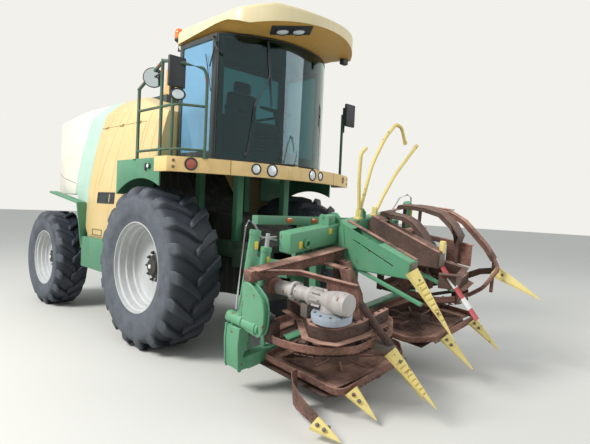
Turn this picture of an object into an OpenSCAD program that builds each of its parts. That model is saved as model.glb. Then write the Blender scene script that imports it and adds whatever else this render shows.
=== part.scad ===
// Self-propelled forage harvester with a folded maize header.
// Millimetres, +Z up, the machine drives towards -Y and its own left side is +X.
// Sub-parts are modelled from the middle of the front axle at ground level and then
// moved so that the origin lies under the middle of the whole machine's box.

/* [Running gear] */
// Distance from the front axle to the rear axle
wheelbase = 3130; // [2900:10:3400]
// Outer radius of a front tyre, lugs included
front_tyre_r = 947; // [880:1:1000]
// Width of a front tyre
front_tyre_w = 650; // [520:5:700]
// Radius of a front rim at its flange
front_rim_r = 532; // [480:1:560]
// Outer radius of a rear tyre, lugs included
rear_tyre_r = 747; // [680:1:780]
// Width of a rear tyre
rear_tyre_w = 500; // [400:5:540]
// Radius of a rear rim at its flange
rear_rim_r = 430; // [380:1:470]
// Distance from the machine's middle to a front tyre's outer wall
front_track_half = 1500; // [1450:5:1560]
// Distance from the machine's middle to a rear tyre's outer wall
rear_track_half = 1450; // [1400:5:1500]
// Height of the lugs on a front tyre
front_lug_h = 48; // [30:1:60]
// Height of the lugs on a rear tyre
rear_lug_h = 38; // [25:1:50]
// Distance from the middle to a steering kingpin
kingpin_x = 800; // [760:5:840]
// Diameter of a steering kingpin
kingpin_d = 70; // [50:1:90]
// Diameter of a wheel spindle
spindle_d = 180; // [140:2:220]

/* [Frame] */
// Distance from the middle to a frame rail's middle
rail_x = 390; // [360:5:420]
// Width of a frame rail
rail_w = 100; // [70:1:130]
// Height of a frame rail
rail_h = 200; // [140:5:240]
// Underside of the frame rails above the ground
rail_z = 1080; // [1060:5:1100]
// Diameter of the tow hitch's pin hole
hitch_bore_d = 34; // [26:1:50]

/* [Cab and platform] */
// Width over the cab's side walls
cab_w = 1800; // [1600:10:1900]
// Height of the cab floor's underside above the ground
cab_z = 2210; // [2150:5:2260]
// Height of the cab's shell under its roof
cab_h = 1450; // [1300:10:1550]
// Depth of the cab's side walls from the rear wall to the front pillars
cab_side_d = 750; // [650:10:850]
// How far the curved windscreen bulges ahead of the front pillars
cab_bulge = 400; // [250:10:450]
// Thickness of the cab's walls
cab_wall = 55; // [40:1:80]
// Thickness of the cab's glass
glass_t = 8; // [5:1:12]
// Height of the roof at its highest point above the shell
roof_h = 270; // [200:5:320]
// Thickness of the platform deck
deck_t = 50; // [30:1:80]
// Height of the light bar
bar_h = 160; // [120:5:200]

/* [Hood] */
// Half width of the hood low down
hood_half_w = 1235; // [1150:5:1300]
// Height of the hood's crown above the ground
hood_top = 3320; // [3200:10:3400]
// Rear end of the hood, from the front axle
hood_end = 4230; // [4000:10:4400]
// Wall of the hood panels
hood_wall = 30; // [15:1:60]

/* [Spout] */
// Angle that the parked spout points away from straight back, towards the left
spout_park = 45; // [30:1:60]
// Reach of the spout from its elbow to its end
spout_len = 2750; // [2400:10:3000]
// Width of the spout's channel
spout_w = 300; // [220:5:360]

/* [Header] */
// Distance from the header's middle to a wing's fold axis
fold_x = 1430; // [1380:5:1480]
// Height of the header's fold axes above the ground, at the middle
fold_z = 880; // [820:5:950]
// Height of the pivot that the header swings on sideways
swing_z = 1250; // [1200:5:1300]
// Diameter of the lift pins
lift_pin_d = 60; // [40:1:80]
// Rear face of the header's beam, from the front axle
header_y = -1800; // [-1900:5:-1750]
// How far the header hangs nose down
header_pitch = 6; // [0:1:12]
// How far the header leans down to the right
header_roll = 8; // [0:1:10]

/* [Hidden] */
$fn = 48;
arc_fn = 720;

// Middle of the whole machine's box, seen from the front axle's middle
mid_x = 505.3;
mid_y = 187;

// Clearances
seat_gap = 0.3;
pin_gap = 0.05;
run_gap = 6;

cream = "#d9bf77";
white_cream = "#e4ddb8";
stripe_green = "#8fb08f";
frame_green = "#4f8f63";
dark_green = "#2f5540";
rust = "#6f4b38";
tip_yellow = "#d8c56a";
rim_silver = "#c9c4b4";

// Frame and housings
rail_end = 3760;
feed_end = -300;

// Wheels
hub_r = 200;
front_axle_end = 1098;
rear_hub_end = 1200;

// Knuckles
yoke_t = 40;
yoke_half_h = 160;
rear_beam_h = 180;
knuckle_r = 75;

// Cab
cab_rear_y = 100;
cab_front_y = cab_rear_y - cab_side_d;
cab_top = cab_z + cab_h;
floor_t = 120;
bulge_r = (pow(cab_w / 2, 2) + pow(cab_bulge, 2)) / (2 * cab_bulge);
door_gap = 6;
pillar = 70;

// Platform
deck_z = cab_z - seat_gap - deck_t;
bar_sag = 400;
bar_end_y = -690;
bar_half = 1500;
bar_r = (pow(bar_half, 2) + pow(bar_sag, 2)) / (2 * bar_sag);
bar_t = 70;
deck_half = bar_half - bar_t - seat_gap;
bar_z = deck_z - 110;
deck_rear_y = 440;
arch_r = front_tyre_r + 90;

// Hood
hood_front = cab_rear_y + 25;
hood_floor = deck_z + deck_t + seat_gap;
side_arc_r = 5500;
side_arc_z = 1300;
crown_r = 2400;
shoulder_r = 1290;
shoulder_z = hood_top - 1200;
band_y = 1950;
band_len = 480;
rear_arc_r = 1700;
crown_end_y = 2700;
taper_y = 2300;
taper_r = 4000;
bow_r = 1600;
hood_low_front = 1170;
hood_low_rear = 1780;
box_end = 1845;
box_low = 720;
box_out = 1290;
tongue_in = 1190;
fender_front = 1955;
fender_len = 1110;
fender_z = 1665;
fender_in = hood_half_w + 5;
fender_out = 1370;
panel_front = 620;
panel_top = 2760;
grille_half = 560;
grille_top = 2330;
grille_y = hood_end - 150;

// Spout
turret_y = 1640;
turret_z = hood_top + 12;
turret_r = 260;
housing_half = rail_x - rail_w / 2 - seat_gap;
elbow_z = turret_z + 250;
spout_t = 8;
arm_w = spout_w / 2 + 14;
arm_y = 345;
arm_z = elbow_z + 340;
arm_end = arm_y + spout_len;
flap_pin = [arm_end - 35, arm_z - 180];

// Header, in its own frame: origin between the fold axes, at the beam's rear face
fold_d = 60;
swing_d = 120;
tip_h = 70;
lift_y = -1130;
lift_z = 1060;
lift_plate_y = header_y + 200;
deck_low = -480;
wing_end_right = 1400;
wing_end_left = 1080;

module place() translate([-mid_x, -mid_y, 0]) children();

// A plate outline drawn in the YZ plane and given a width along X
module along_x(x0, x1) translate([x0, 0, 0]) rotate([90, 0, 90]) linear_extrude(x1 - x0) children();

// A bar along X
module rod_x(x0, x1, r, y = 0, z = 0) translate([x0, y, z]) rotate([0, 90, 0]) cylinder(r = r, h = x1 - x0);

// A bar along Y
module rod_y(y0, y1, r, x = 0, z = 0) translate([x, y0, z]) rotate([-90, 0, 0]) cylinder(r = r, h = y1 - y0);

// A box given by its low and high corners
module block(lo, hi) translate(lo) cube(hi - lo);

// A round bar between two points, with ball ends where asked
module strut(a, b, r) {
    d = b - a;
    len = norm(d);
    translate(a) rotate([0, acos(d[2] / len), atan2(d[1], d[0])]) cylinder(r = r, h = len);
}

// Frame rails, their cross members and the saddle on the rear axle
module frame() color(dark_green) place() {
    for (s = [-1, 1])
        block([s * rail_x - rail_w / 2, -900, rail_z], [s * rail_x + rail_w / 2, rail_end, rail_z + rail_h]);
    for (y = [1450, rail_end - 100])
        block([-rail_x, y, rail_z + 20], [rail_x, y + 100, rail_z + rail_h - 20]);
    block([-rail_x, wheelbase - 60, rear_tyre_r + rear_beam_h / 2 + seat_gap],
          [rail_x, wheelbase + 60, rail_z + 40]);
}

// Tow hitch: a back plate on the frame's end with two jaw plates and the pin's bore
module hitch_plate() color(dark_green) place() difference() {
    union() {
        block([-220, rail_end + seat_gap, 700], [220, rail_end + 30, rail_z + rail_h]);
        for (z = [740, 850])
            block([-70, rail_end + 30, z], [70, rail_end + 170, z + 35]);
    }
    translate([0, rail_end + 100, 700]) cylinder(d = hitch_bore_d, h = 300);
}

// Arms beside the frame that carry the header's lift frame
module lift_arms() color(dark_green) place() for (s = [-1, 1]) scale([s, 1, 1]) difference() {
    block([rail_x + rail_w / 2 + seat_gap, -1200, 980], [rail_x + rail_w / 2 + 70, -600, 1200]);
    rod_x(0, 600, lift_pin_d / 2 + pin_gap, y = lift_y, z = lift_z);
}

// Driven front axle with its final drives and spindles
module front_axle() color(dark_green) place() {
    block([-650, -130, front_tyre_r - 125], [650, 130, rail_z - seat_gap]);
    for (s = [0, 180]) rotate([0, 0, s]) {
        rod_x(650, front_axle_end, 215, z = front_tyre_r);
        rod_x(front_axle_end, front_axle_end + 110, spindle_d / 2, z = front_tyre_r);
    }
}

// Steered rear axle beam with a yoke at each end
module rear_axle() color(dark_green) place() translate([0, wheelbase, rear_tyre_r]) {
    block([-650, -110, -rear_beam_h / 2], [650, 110, rear_beam_h / 2]);
    for (s = [-1, 1]) difference() {
        union() {
            for (z = [-yoke_half_h, yoke_half_h - yoke_t]) {
                translate([s * kingpin_x, 0, z]) cylinder(r = knuckle_r, h = yoke_t);
                block([min(s * 610, s * kingpin_x), -knuckle_r, z],
                      [max(s * 610, s * kingpin_x), knuckle_r, z + yoke_t]);
            }
            block([min(s * 610, s * 690), -knuckle_r, -yoke_half_h],
                  [max(s * 610, s * 690), knuckle_r, yoke_half_h]);
        }
        translate([s * kingpin_x, 0, -300]) cylinder(r = kingpin_d / 2 + pin_gap, h = 600);
    }
}

// Engine, a plain block in its real place
module engine() color("#4a4a48") place()
    block([-500, 2250, rail_z + rail_h], [500, 3450, rail_z + rail_h + 1050]);

// Feed housing with the mouth that the crop enters, open right through
module feed_housing() color("#3a4038") place() difference() {
    along_x(-housing_half, housing_half)
        polygon([[-1080, 620], [-1080, 1260], [-500, 1560], [feed_end, 1585], [feed_end, 600]]);
    block([-270, -1200, 680], [270, 0, 1180]);
}

// Cutterhead housing and the chute up to the turret
module crop_housing() color("#3a4038") place() {
    difference() {
        along_x(-housing_half, housing_half) polygon([[feed_end + seat_gap, 600], [feed_end + seat_gap, 1585],
            [300, 1640], [900, 2350], [turret_y - 290, turret_z - 380], [turret_y - 290, turret_z],
            [turret_y + 290, turret_z], [turret_y + 290, turret_z - 430], [1300, 1300], [900, 700],
            [100, 560]]);
        // space for the front axle
        block([-400, -140, front_tyre_r - 135], [400, 140, rail_z + 5]);
        // bearing ring of the turret
        translate([0, turret_y, turret_z - 40]) cylinder(r = 200, h = 60);
    }
}

// Tank and tool box behind the front wheels
module side_boxes() color(frame_green) place() for (s = [-1, 1]) scale([s, 1, 1]) {
    along_x(rail_x + rail_w / 2, box_out) polygon([[1010, box_low], [box_end, box_low + 20],
        [box_end, hood_low_front - seat_gap], [1010, hood_low_front - seat_gap]]);
    block([tongue_in, box_end, box_low + 20], [box_out, fender_front - seat_gap, hood_low_front - seat_gap]);
}

// Plan outline of the light bar's front edge, set back by d
module bar_plan(d) intersection() {
    translate([0, bar_end_y - bar_sag + bar_r]) circle(r = bar_r - d, $fn = arc_fn);
    translate([-bar_half + d, -3000]) square([2 * (bar_half - d), 3000 + bar_end_y + 260]);
}

// Platform deck with the green arches over the front wheels
module platform() color(frame_green) place() {
    difference() {
        union() {
            translate([0, 0, deck_z]) linear_extrude(deck_t) {
                bar_plan(bar_t + seat_gap);
                translate([-deck_half, bar_end_y + 60]) square([2 * deck_half, deck_rear_y - bar_end_y - 60]);
            }
            for (s = [-1, 1]) scale([s, 1, 1])
                block([deck_half - 20, bar_end_y + 270, 1790],
                      [deck_half, deck_rear_y + 160, deck_z + deck_t]);
            for (s = [-1, 1]) scale([s, 1, 1])
                block([920, deck_rear_y + 140, 1790], [deck_half, deck_rear_y + 160, deck_z + deck_t]);
            // posts from the frame
            for (s = [-1, 1]) for (y = [-560, 260])
                block([s * rail_x - 45, y, rail_z + rail_h], [s * rail_x + 45, y + 90, deck_z]);
        }
        for (s = [-1, 1]) scale([s, 1, 1]) rod_x(820, 2000, arch_r, z = front_tyre_r);
    }
}

// Bowed light bar along the platform's front edge
module light_bar() color(cream) place() difference() {
    translate([0, 0, bar_z]) linear_extrude(bar_h) difference() {
        bar_plan(0);
        bar_plan(bar_t);
        translate([-2000, bar_end_y + 258]) square([4000, 400]);
    }
    for (l = bar_lamp_table()) bar_lamp_at(l[0]) rod_y(-80, 30, l[1] + 1);
}

// Lamps in the light bar: distance from the middle, radius
function bar_lamp_table() =
    [[-1180, 58], [-700, 30], [-180, 62], [30, 76], [390, 76], [600, 62], [1180, 40]];
module bar_lamp_at(x) {
    a = asin(x / bar_r);
    translate([x, bar_end_y - bar_sag + bar_r - bar_r * cos(a), bar_z + bar_h / 2 + 8])
        rotate([0, 0, a]) children();
}
module bar_lamps() color("#e8e8e0") place()
    for (l = bar_lamp_table()) bar_lamp_at(l[0]) rod_y(3, 29.7, l[1]);

// Plan outline of the cab, set in by d
module cab_plan(d) {
    translate([-cab_w / 2 + d, cab_front_y - 1]) square([cab_w - 2 * d, cab_side_d + 1 - d]);
    intersection() {
        translate([0, cab_front_y - cab_bulge + bulge_r]) circle(r = bulge_r - d, $fn = arc_fn);
        translate([-cab_w / 2 + d, cab_front_y - 1000]) square([cab_w - 2 * d, 1001]);
    }
}

// Cab body: floor pan, pillars, sills and rear wall, with its windows cut
module cab_shell() color("#3c4644") place() {
    cab_walls();
    for (z = door_hinge_zs) {
        hinge_pin_z([door_hinge_x, door_hinge_y, z]);
        block([cab_w / 2 - 5, cab_rear_y - 24, z], [door_hinge_x + 4, cab_rear_y - 4, z + hinge_len]);
        block([door_hinge_x - 9, door_hinge_y, z], [door_hinge_x + 4, cab_rear_y - 4, z + hinge_len]);
    }
}
module cab_walls() difference() {
    translate([0, 0, cab_z]) linear_extrude(cab_h) cab_plan(0);
    translate([0, 0, cab_z + floor_t]) linear_extrude(cab_h - floor_t - 60) cab_plan(cab_wall);
    // windscreen opening
    block([-cab_w / 2 + pillar, cab_front_y - 900, cab_z + floor_t],
          [cab_w / 2 - pillar, cab_front_y + 2, cab_top - 60]);
    // side openings
    block([-cab_w / 2 - 50, cab_front_y + pillar, cab_z + floor_t],
          [-cab_w / 2 + cab_wall + 5, cab_rear_y - pillar, cab_top - 60]);
    block([cab_w / 2 - cab_wall - 5, cab_front_y + 20, cab_z + floor_t - 10],
          [cab_w / 2 + 50, cab_rear_y - 30, cab_top - 50]);
    // rear window
    block([-cab_w / 2 + 150, cab_rear_y - 200, cab_z + 700],
          [cab_w / 2 - 150, cab_rear_y + 50, cab_top - 110]);
}

// Curved windscreen between the front pillars
module windscreen() color("#7fa7b8") place() translate([0, 0, cab_z + floor_t + seat_gap])
    linear_extrude(cab_h - floor_t - 60 - 2 * seat_gap) intersection() {
        difference() {
            translate([0, cab_front_y - cab_bulge + bulge_r]) circle(r = bulge_r - 4, $fn = arc_fn);
            translate([0, cab_front_y - cab_bulge + bulge_r]) circle(r = bulge_r - 4 - glass_t, $fn = arc_fn);
        }
        translate([-cab_w / 2 + pillar + 1, -3000]) square([cab_w - 2 * pillar - 2, 3000 + cab_front_y]);
    }

// Right side window and rear window
module cab_glass() color("#7fa7b8") place() {
    block([-cab_w / 2 + 12, cab_front_y + pillar + 1, cab_z + floor_t + seat_gap],
          [-cab_w / 2 + 12 + glass_t, cab_rear_y - pillar - 1, cab_top - 60 - seat_gap]);
    block([-cab_w / 2 + 151, cab_rear_y - 20, cab_z + 700 + seat_gap],
          [cab_w / 2 - 151, cab_rear_y - 20 + glass_t, cab_top - 110 - seat_gap]);
}

// Hinge barrel along Z or along Y: fixed halves carry the pin, moving halves its bore
barrel_r = 13;
hinge_pin_r = 6;
hinge_len = 60;
module hinge_pin_z(p) translate(p) {
    cylinder(r = barrel_r, h = hinge_len);
    cylinder(r = hinge_pin_r, h = 2 * hinge_len);
}
module hinge_bore_z(p) translate(p + [0, 0, hinge_len + 1]) difference() {
    cylinder(r = barrel_r, h = hinge_len);
    translate([0, 0, -1]) cylinder(r = hinge_pin_r + pin_gap, h = hinge_len + 2);
}
door_hinge_x = cab_w / 2 + 16;
door_hinge_y = cab_rear_y - 52;
door_hinge_zs = [cab_z + 260, cab_z + 1150];

// Door frame on the left side, hinged at its rear edge
module cab_door() color("#3c4644") place() {
    door_leaf();
    for (z = door_hinge_zs) difference() {
        block([cab_w / 2 - 3, door_hinge_y - barrel_r, z + hinge_len + 1],
              [door_hinge_x, door_hinge_y, z + 2 * hinge_len + 1]);
        translate([door_hinge_x, door_hinge_y, z]) cylinder(r = hinge_pin_r + 1, h = 3 * hinge_len);
    }
    for (z = door_hinge_zs) hinge_bore_z([door_hinge_x, door_hinge_y, z]);
}
module door_leaf() difference() {
    block([cab_w / 2 - cab_wall + 2, cab_front_y + 20 + door_gap, cab_z + floor_t - 10 + door_gap],
          [cab_w / 2 - 2, cab_rear_y - 30 - door_gap, cab_top - 50 - door_gap]);
    block([cab_w / 2 - 100, cab_front_y + 20 + pillar, cab_z + floor_t + 60],
          [cab_w / 2 + 50, cab_rear_y - 30 - pillar, cab_top - 50 - pillar]);
}
module door_glass() color("#7fa7b8") place()
    block([cab_w / 2 - 30, cab_front_y + 20 + pillar + seat_gap, cab_z + floor_t + 60 + seat_gap],
          [cab_w / 2 - 30 + glass_t, cab_rear_y - 30 - pillar - seat_gap, cab_top - 50 - pillar - seat_gap]);

// Roof cap with its visor
module cab_roof() color(white_cream) place() intersection() {
    translate([0, 0, cab_top + seat_gap]) linear_extrude(roof_h + 100) {
        translate([-cab_w / 2 - 60, cab_front_y - 60]) square([cab_w + 120, cab_side_d + 110]);
        intersection() {
            translate([0, cab_front_y - cab_bulge - 190 + bulge_r + 60])
                circle(r = bulge_r + 60, $fn = arc_fn);
            translate([-cab_w / 2 - 60, -3000]) square([cab_w + 120, 3000 + cab_front_y - 50]);
        }
    }
    rod_x(-2000, 2000, 3200, y = -900, z = cab_top + roof_h - 3200, $fn = arc_fn);
    rod_y(-3000, 1000, 3600, z = cab_top + roof_h + 5 - 3600, $fn = arc_fn);
}

// Driver's seat on its pedestal
module seat() color("#33363a") place() {
    block([-180, -420, cab_z + floor_t], [180, -60, cab_z + floor_t + 330]);
    block([-260, -560, cab_z + floor_t + 330], [260, -60, cab_z + floor_t + 460]);
    block([-250, -60, cab_z + floor_t + 400], [250, 30, cab_z + floor_t + 1050]);
}

// Steering column, wheel and side console
module console() color("#26292b") place() {
    block([-80, -980, cab_z + floor_t], [80, -840, cab_z + floor_t + 60]);
    strut([0, -900, cab_z + floor_t + 30], [0, -720, cab_z + floor_t + 560], 40);
    translate([0, -700, cab_z + floor_t + 590]) rotate([18, 0, 0])
        rotate_extrude() translate([190, 0]) circle(r = 16);
    translate([0, -712, cab_z + floor_t + 580]) rotate([18, 0, 0]) for (a = [0, 120, 240]) rotate([0, 0, a])
        translate([0, -12, -8]) cube([188, 24, 16]);
    block([-620, -700, cab_z + floor_t], [-330, -60, cab_z + floor_t + 480]);
}

// Handrails round the platform: right side whole, left side open for the door and steps
module rails() color(dark_green) place() {
    z0 = deck_z + deck_t;
    r = 19;
    for (p = [[-1400, 146, 830], [-1400, -365, 1080], [-1400, -600, 1040],
              [1400, 300, 830], [1400, -620, 900]])
        translate([p[0], p[1], z0 + seat_gap]) cylinder(r = r, h = p[2]);
    strut([-1400, 165, z0 + 812], [-1400, -384, z0 + 1062], r);
    strut([-1400, -365, z0 + 1062], [-1400, -600, z0 + 1021], r);
    for (h = [90, 560])
        rod_y(-600, 146, r * 0.8, x = -1400, z = z0 + h);
}

// Mirrors on arms at both front corners
module mirrors() color("#202327") place() for (s = [-1, 1]) scale([s, 1, 1]) {
    z0 = deck_z + deck_t;
    y0 = s < 0 ? -600 : -620;
    block([1419, y0 - 20, z0 + 640], [1441, y0 + 20, z0 + 1010]);
    block([1330, y0 - 130, z0 + 720], [1530, y0 - 90, z0 + 1040]);
    block([1421, y0 - 90, z0 + 860], [1441, y0 - 20, z0 + 890]);
}

// Cross section of the hood, set in by d
module hood_section(d) intersection() {
    translate([hood_half_w - side_arc_r, side_arc_z]) circle(r = side_arc_r - d, $fn = arc_fn);
    translate([side_arc_r - hood_half_w, side_arc_z]) circle(r = side_arc_r - d, $fn = arc_fn);
    translate([0, hood_top - crown_r]) circle(r = crown_r - d, $fn = arc_fn);
    translate([0, shoulder_z]) circle(r = shoulder_r - d, $fn = arc_fn);
}

// Side profile of the hood, set in by d: a crown that falls away to the rear in one arc
module hood_profile(d) intersection() {
    difference() {
        polygon([[hood_front + d, hood_floor - d], [hood_front + d, 2850 - d], [1750, hood_top - d + 10],
                 [hood_end, hood_top - d + 10], [hood_end, hood_low_rear - d], [2350, hood_low_rear - d],
                 [1850, hood_low_front - d], [deck_rear_y + 170 - d, hood_low_front - d],
                 [deck_rear_y + 170 - d, hood_floor - d]]);
        translate([0, front_tyre_r]) circle(r = arch_r + 15 - d, $fn = arc_fn);
    }
    union() {
        translate([crown_end_y, hood_top - rear_arc_r]) circle(r = rear_arc_r - d, $fn = arc_fn);
        square([crown_end_y, hood_top - d]);
    }
}

// Plan of the hood, set in by d: straight sides that draw in towards a bowed rear
module hood_plan(d) {
    translate([-hood_half_w + d, hood_front + d]) square([2 * (hood_half_w - d), taper_y - hood_front - d]);
    intersection() {
        translate([hood_half_w - taper_r, taper_y]) circle(r = taper_r - d, $fn = arc_fn);
        translate([taper_r - hood_half_w, taper_y]) circle(r = taper_r - d, $fn = arc_fn);
        translate([0, hood_end - bow_r]) circle(r = bow_r - d, $fn = arc_fn);
        translate([-hood_half_w, taper_y - 1]) square([2 * hood_half_w, 3000]);
    }
}

// Outer form of the hood, set in by d
module hood_form(d) intersection() {
    rotate([90, 0, 0]) translate([0, 0, -5000]) linear_extrude(5000) hood_section(d);
    along_x(-1500, 1500) hood_profile(d);
    translate([0, 0, 1000]) linear_extrude(hood_top) hood_plan(d);
}

// The hood's skin, open below
module hood_skin() difference() {
    hood_form(0);
    hood_form(hood_wall);
}

// Outline of a side panel, in the YZ plane, set in by g
module panel_outline(g)
    polygon([[panel_front + g, hood_low_front + 10 + g], [band_y - g, hood_low_front + 10 + g],
             [band_y - g, panel_top - g], [panel_front + g, panel_top - g]]);

// Cream upper panel of the hood between the cab and the band, with the turret's opening
module hood_top_panel() color(cream) place() {
    hood_top_skin();
    panel_pins();
}
module hood_top_skin() difference() {
    intersection() {
        hood_skin();
        block([-1400, 0, 900], [1400, band_y, hood_top + 180]);
    }
    along_x(-1500, -760) panel_outline(0);
    along_x(760, 1500) panel_outline(0);
    block([-housing_half - 5, turret_y - 300, hood_top - 520],
          [housing_half + 5, turret_y + 400, hood_top + 180]);
}

// Green band round the hood
module hood_band() color(stripe_green) place() intersection() {
    hood_skin();
    block([-1400, band_y + seat_gap, 900], [1400, band_y + band_len, hood_top + 180]);
}

// White rear part of the hood, open at the back for the grille
module rear_hood() color(white_cream) place() difference() {
    intersection() {
        hood_skin();
        block([-1400, band_y + band_len + seat_gap, 900], [1400, hood_end + 10, hood_top + 180]);
    }
    block([-grille_half - 8, hood_end - 400, hood_low_rear + 60],
          [grille_half + 8, hood_end + 50, grille_top + 8]);
    translate([-grille_half + 6, grille_y + 29, hood_low_rear])
        cylinder(r = hinge_pin_r + pin_gap, h = grille_top - hood_low_rear + 40);
}

// Half width of the hood's skin at a height
function skin_x(z) = hood_half_w - side_arc_r + sqrt(pow(side_arc_r, 2) - pow(z - side_arc_z, 2));
panel_hinge_x = skin_x(panel_top) + 14;
panel_hinge_ys = [760, 1250, 1720];
module panel_pins() for (s = [-1, 1]) scale([s, 1, 1]) for (y = panel_hinge_ys) {
    rod_y(y, y + hinge_len, barrel_r, x = panel_hinge_x, z = panel_top);
    rod_y(y, y + 2 * hinge_len, hinge_pin_r, x = panel_hinge_x, z = panel_top);
    block([panel_hinge_x - 32, y, panel_top + 6], [panel_hinge_x, y + hinge_len, panel_top + 12]);
}

// Hinged side panels over the service openings, hung along their top edges
module side_panel(s) color(cream) place() scale([s, 1, 1]) {
    intersection() {
        hood_skin();
        along_x(760, 1500) panel_outline(run_gap);
    }
    for (y = panel_hinge_ys) difference() {
        union() {
            rod_y(y + hinge_len + 1, y + 2 * hinge_len, barrel_r, x = panel_hinge_x, z = panel_top);
            block([panel_hinge_x - 20, y + hinge_len + 1, panel_top - 13],
                  [panel_hinge_x, y + 2 * hinge_len, panel_top - 7]);
        }
        rod_y(y, y + 3 * hinge_len, hinge_pin_r + pin_gap, x = panel_hinge_x, z = panel_top);
    }
}
module side_panel_right() side_panel(-1);
module side_panel_left() side_panel(1);

// Rear screen, hinged at its right edge
module rear_grille() color("#2c2f2e") place() {
    grille_leaf();
    translate([-grille_half + 6, grille_y + 29, hood_low_rear + 35])
        cylinder(r = hinge_pin_r, h = grille_top - hood_low_rear);
}
module grille_leaf() difference() {
    block([-grille_half, grille_y, hood_low_rear + 68], [grille_half, grille_y + 35, grille_top]);
    for (i = [0 : 4])
        block([-grille_half + 50, grille_y - 10, hood_low_rear + 105 + i * 85],
              [grille_half - 50, grille_y + 50, hood_low_rear + 165 + i * 85]);
}

// Green mudguards over the rear wheels, with a front wall that stands on the side boxes' ends
module rear_fenders() color(frame_green) place() for (s = [-1, 1]) scale([s, 1, 1]) {
    along_x(fender_in, fender_out)
        polygon([[fender_front, fender_z - 25], [fender_front + fender_len, fender_z + 120],
                 [fender_front + fender_len, fender_z + 150], [fender_front, fender_z]]);
    translate([0, fender_front + 30, 0]) rotate([90, 0, 0]) linear_extrude(30)
        polygon([[tongue_in, hood_low_front - 170], [box_out, hood_low_front - 170],
                 [fender_out, fender_z - 10], [fender_in, fender_z - 10]]);
}

// Orange beacon on its stalk behind the cab
module beacon() color("#e06a1c") place() {
    block([-cab_w / 2 + 5, cab_rear_y + seat_gap, cab_top - 60],
          [-cab_w / 2 + 45, cab_rear_y + 105, cab_top - 30]);
    translate([-cab_w / 2 + 25, cab_rear_y + 85, cab_top - 30]) cylinder(r = 15, h = 130);
    translate([-cab_w / 2 + 25, cab_rear_y + 85, cab_top + 100]) cylinder(r = 55, h = 130);
}

// Steering knuckle with its kingpin and spindle
module knuckle(s) color(dark_green) place() translate([s * kingpin_x, wheelbase, rear_tyre_r]) {
    inner_h = yoke_half_h - yoke_t - 2;
    translate([0, 0, -yoke_half_h]) cylinder(r = kingpin_d / 2, h = 2 * yoke_half_h);
    translate([0, 0, -inner_h]) cylinder(r = knuckle_r - 5, h = 2 * inner_h);
    scale([s, 1, 1]) {
        rod_x(0, 200, 90);
        rod_x(200, rear_hub_end - kingpin_x, spindle_d / 2 - 30);
    }
}
module knuckle_right() knuckle(-1);
module knuckle_left() knuckle(1);

// A tyre turned round X, its outer wall at x
module tyre_body(r, w, rim, lug) {
    rotate([90, 0, 90]) rotate_extrude()
        polygon([[rim + seat_gap, 40], [rim + 40, 10], [rim + 130, 0], [r - 190, 0], [r - lug - 40, 60],
                 [r, 110], [r, w - 110], [r - lug - 40, w - 60], [r - 190, w], [rim + 130, w],
                 [rim + 40, w - 10], [rim + seat_gap, w - 40]]);
}

// A rim turned round X with its disc and hub; the hub has a blind bore for the spindle
module rim_body(r, w, disc, hub, bore, bore_len) difference() {
    union() {
        rotate([90, 0, 90]) rotate_extrude()
            polygon([[r - 12, 0], [r, 0], [r, w], [r - 12, w], [r - 12, w - 40], [r - 40, w - 90],
                     [r - 40, disc + 20], [hub - 5, disc + 20], [hub - 5, disc], [r - 52, disc],
                     [r - 52, 90], [r - 12, 40]]);
        rotate([90, 0, 90]) cylinder(r = hub, h = disc + 130);
    }
    translate([-1, 0, 0]) rotate([90, 0, 90]) cylinder(r = hub + 30, h = disc - 60);
    translate([-1, 0, 0]) rotate([90, 0, 90]) cylinder(r = bore, h = disc - 60 + bore_len);
}

module front_wheel_at(s) place() translate([0, 0, front_tyre_r]) scale([s, 1, 1])
    translate([front_track_half - front_tyre_w, 0, 0]) children();
module rear_wheel_at(s) place() translate([0, wheelbase, rear_tyre_r]) scale([s, 1, 1])
    translate([rear_track_half - rear_tyre_w, 0, 0]) children();

module front_tyre(s) color("#2e3338") front_wheel_at(s)
    tyre_body(front_tyre_r, front_tyre_w, front_rim_r, front_lug_h);
module rear_tyre(s) color("#2e3338") rear_wheel_at(s)
    tyre_body(rear_tyre_r, rear_tyre_w, rear_rim_r, rear_lug_h);
module front_rim(s) color(rim_silver) front_wheel_at(s) translate([40, 0, 0])
    rim_body(front_rim_r, front_tyre_w - 80, 270, hub_r, spindle_d / 2 + pin_gap, 112);
module rear_rim(s) color(rim_silver) rear_wheel_at(s) translate([40, 0, 0])
    rim_body(rear_rim_r, rear_tyre_w - 80, 200, 150, spindle_d / 2 - 30 + pin_gap, 80);

module tyre_front_right() front_tyre(-1);
module tyre_front_left() front_tyre(1);
module tyre_rear_right() rear_tyre(-1);
module tyre_rear_left() rear_tyre(1);
module rim_front_right() front_rim(-1);
module rim_front_left() front_rim(1);
module rim_rear_right() rear_rim(-1);
module rim_rear_left() rear_rim(1);

// The spout's frame: origin on the turret's axis, the spout points along +Y here
module spout_at() place() translate([0, turret_y, 0]) rotate([0, 0, -spout_park]) children();

// Turning collar and the elbow that bends the crop flow
module spout_elbow() color("#c98a3a") spout_at() {
    difference() {
        translate([0, 0, turret_z + seat_gap]) cylinder(r = turret_r, h = 60);
        translate([0, 0, turret_z - 1]) cylinder(r = 180, h = 100);
    }
    difference() {
        along_x(-spout_w / 2, spout_w / 2)
            polygon([[-180, turret_z + 50], [180, turret_z + 50], [200, elbow_z - 40], [330, elbow_z + 60],
                     [330, elbow_z + 330], [60, elbow_z + 300], [-120, elbow_z + 160]]);
        along_x(-spout_w / 2 + spout_t, spout_w / 2 - spout_t)
            polygon([[-170, turret_z], [170, turret_z], [190, elbow_z - 30], [400, elbow_z + 75],
                     [400, elbow_z + 315], [65, elbow_z + 290], [-110, elbow_z + 150]]);
        rod_x(-400, 400, 20 + pin_gap, y = 290, z = elbow_z + 200);
    }
}

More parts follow.
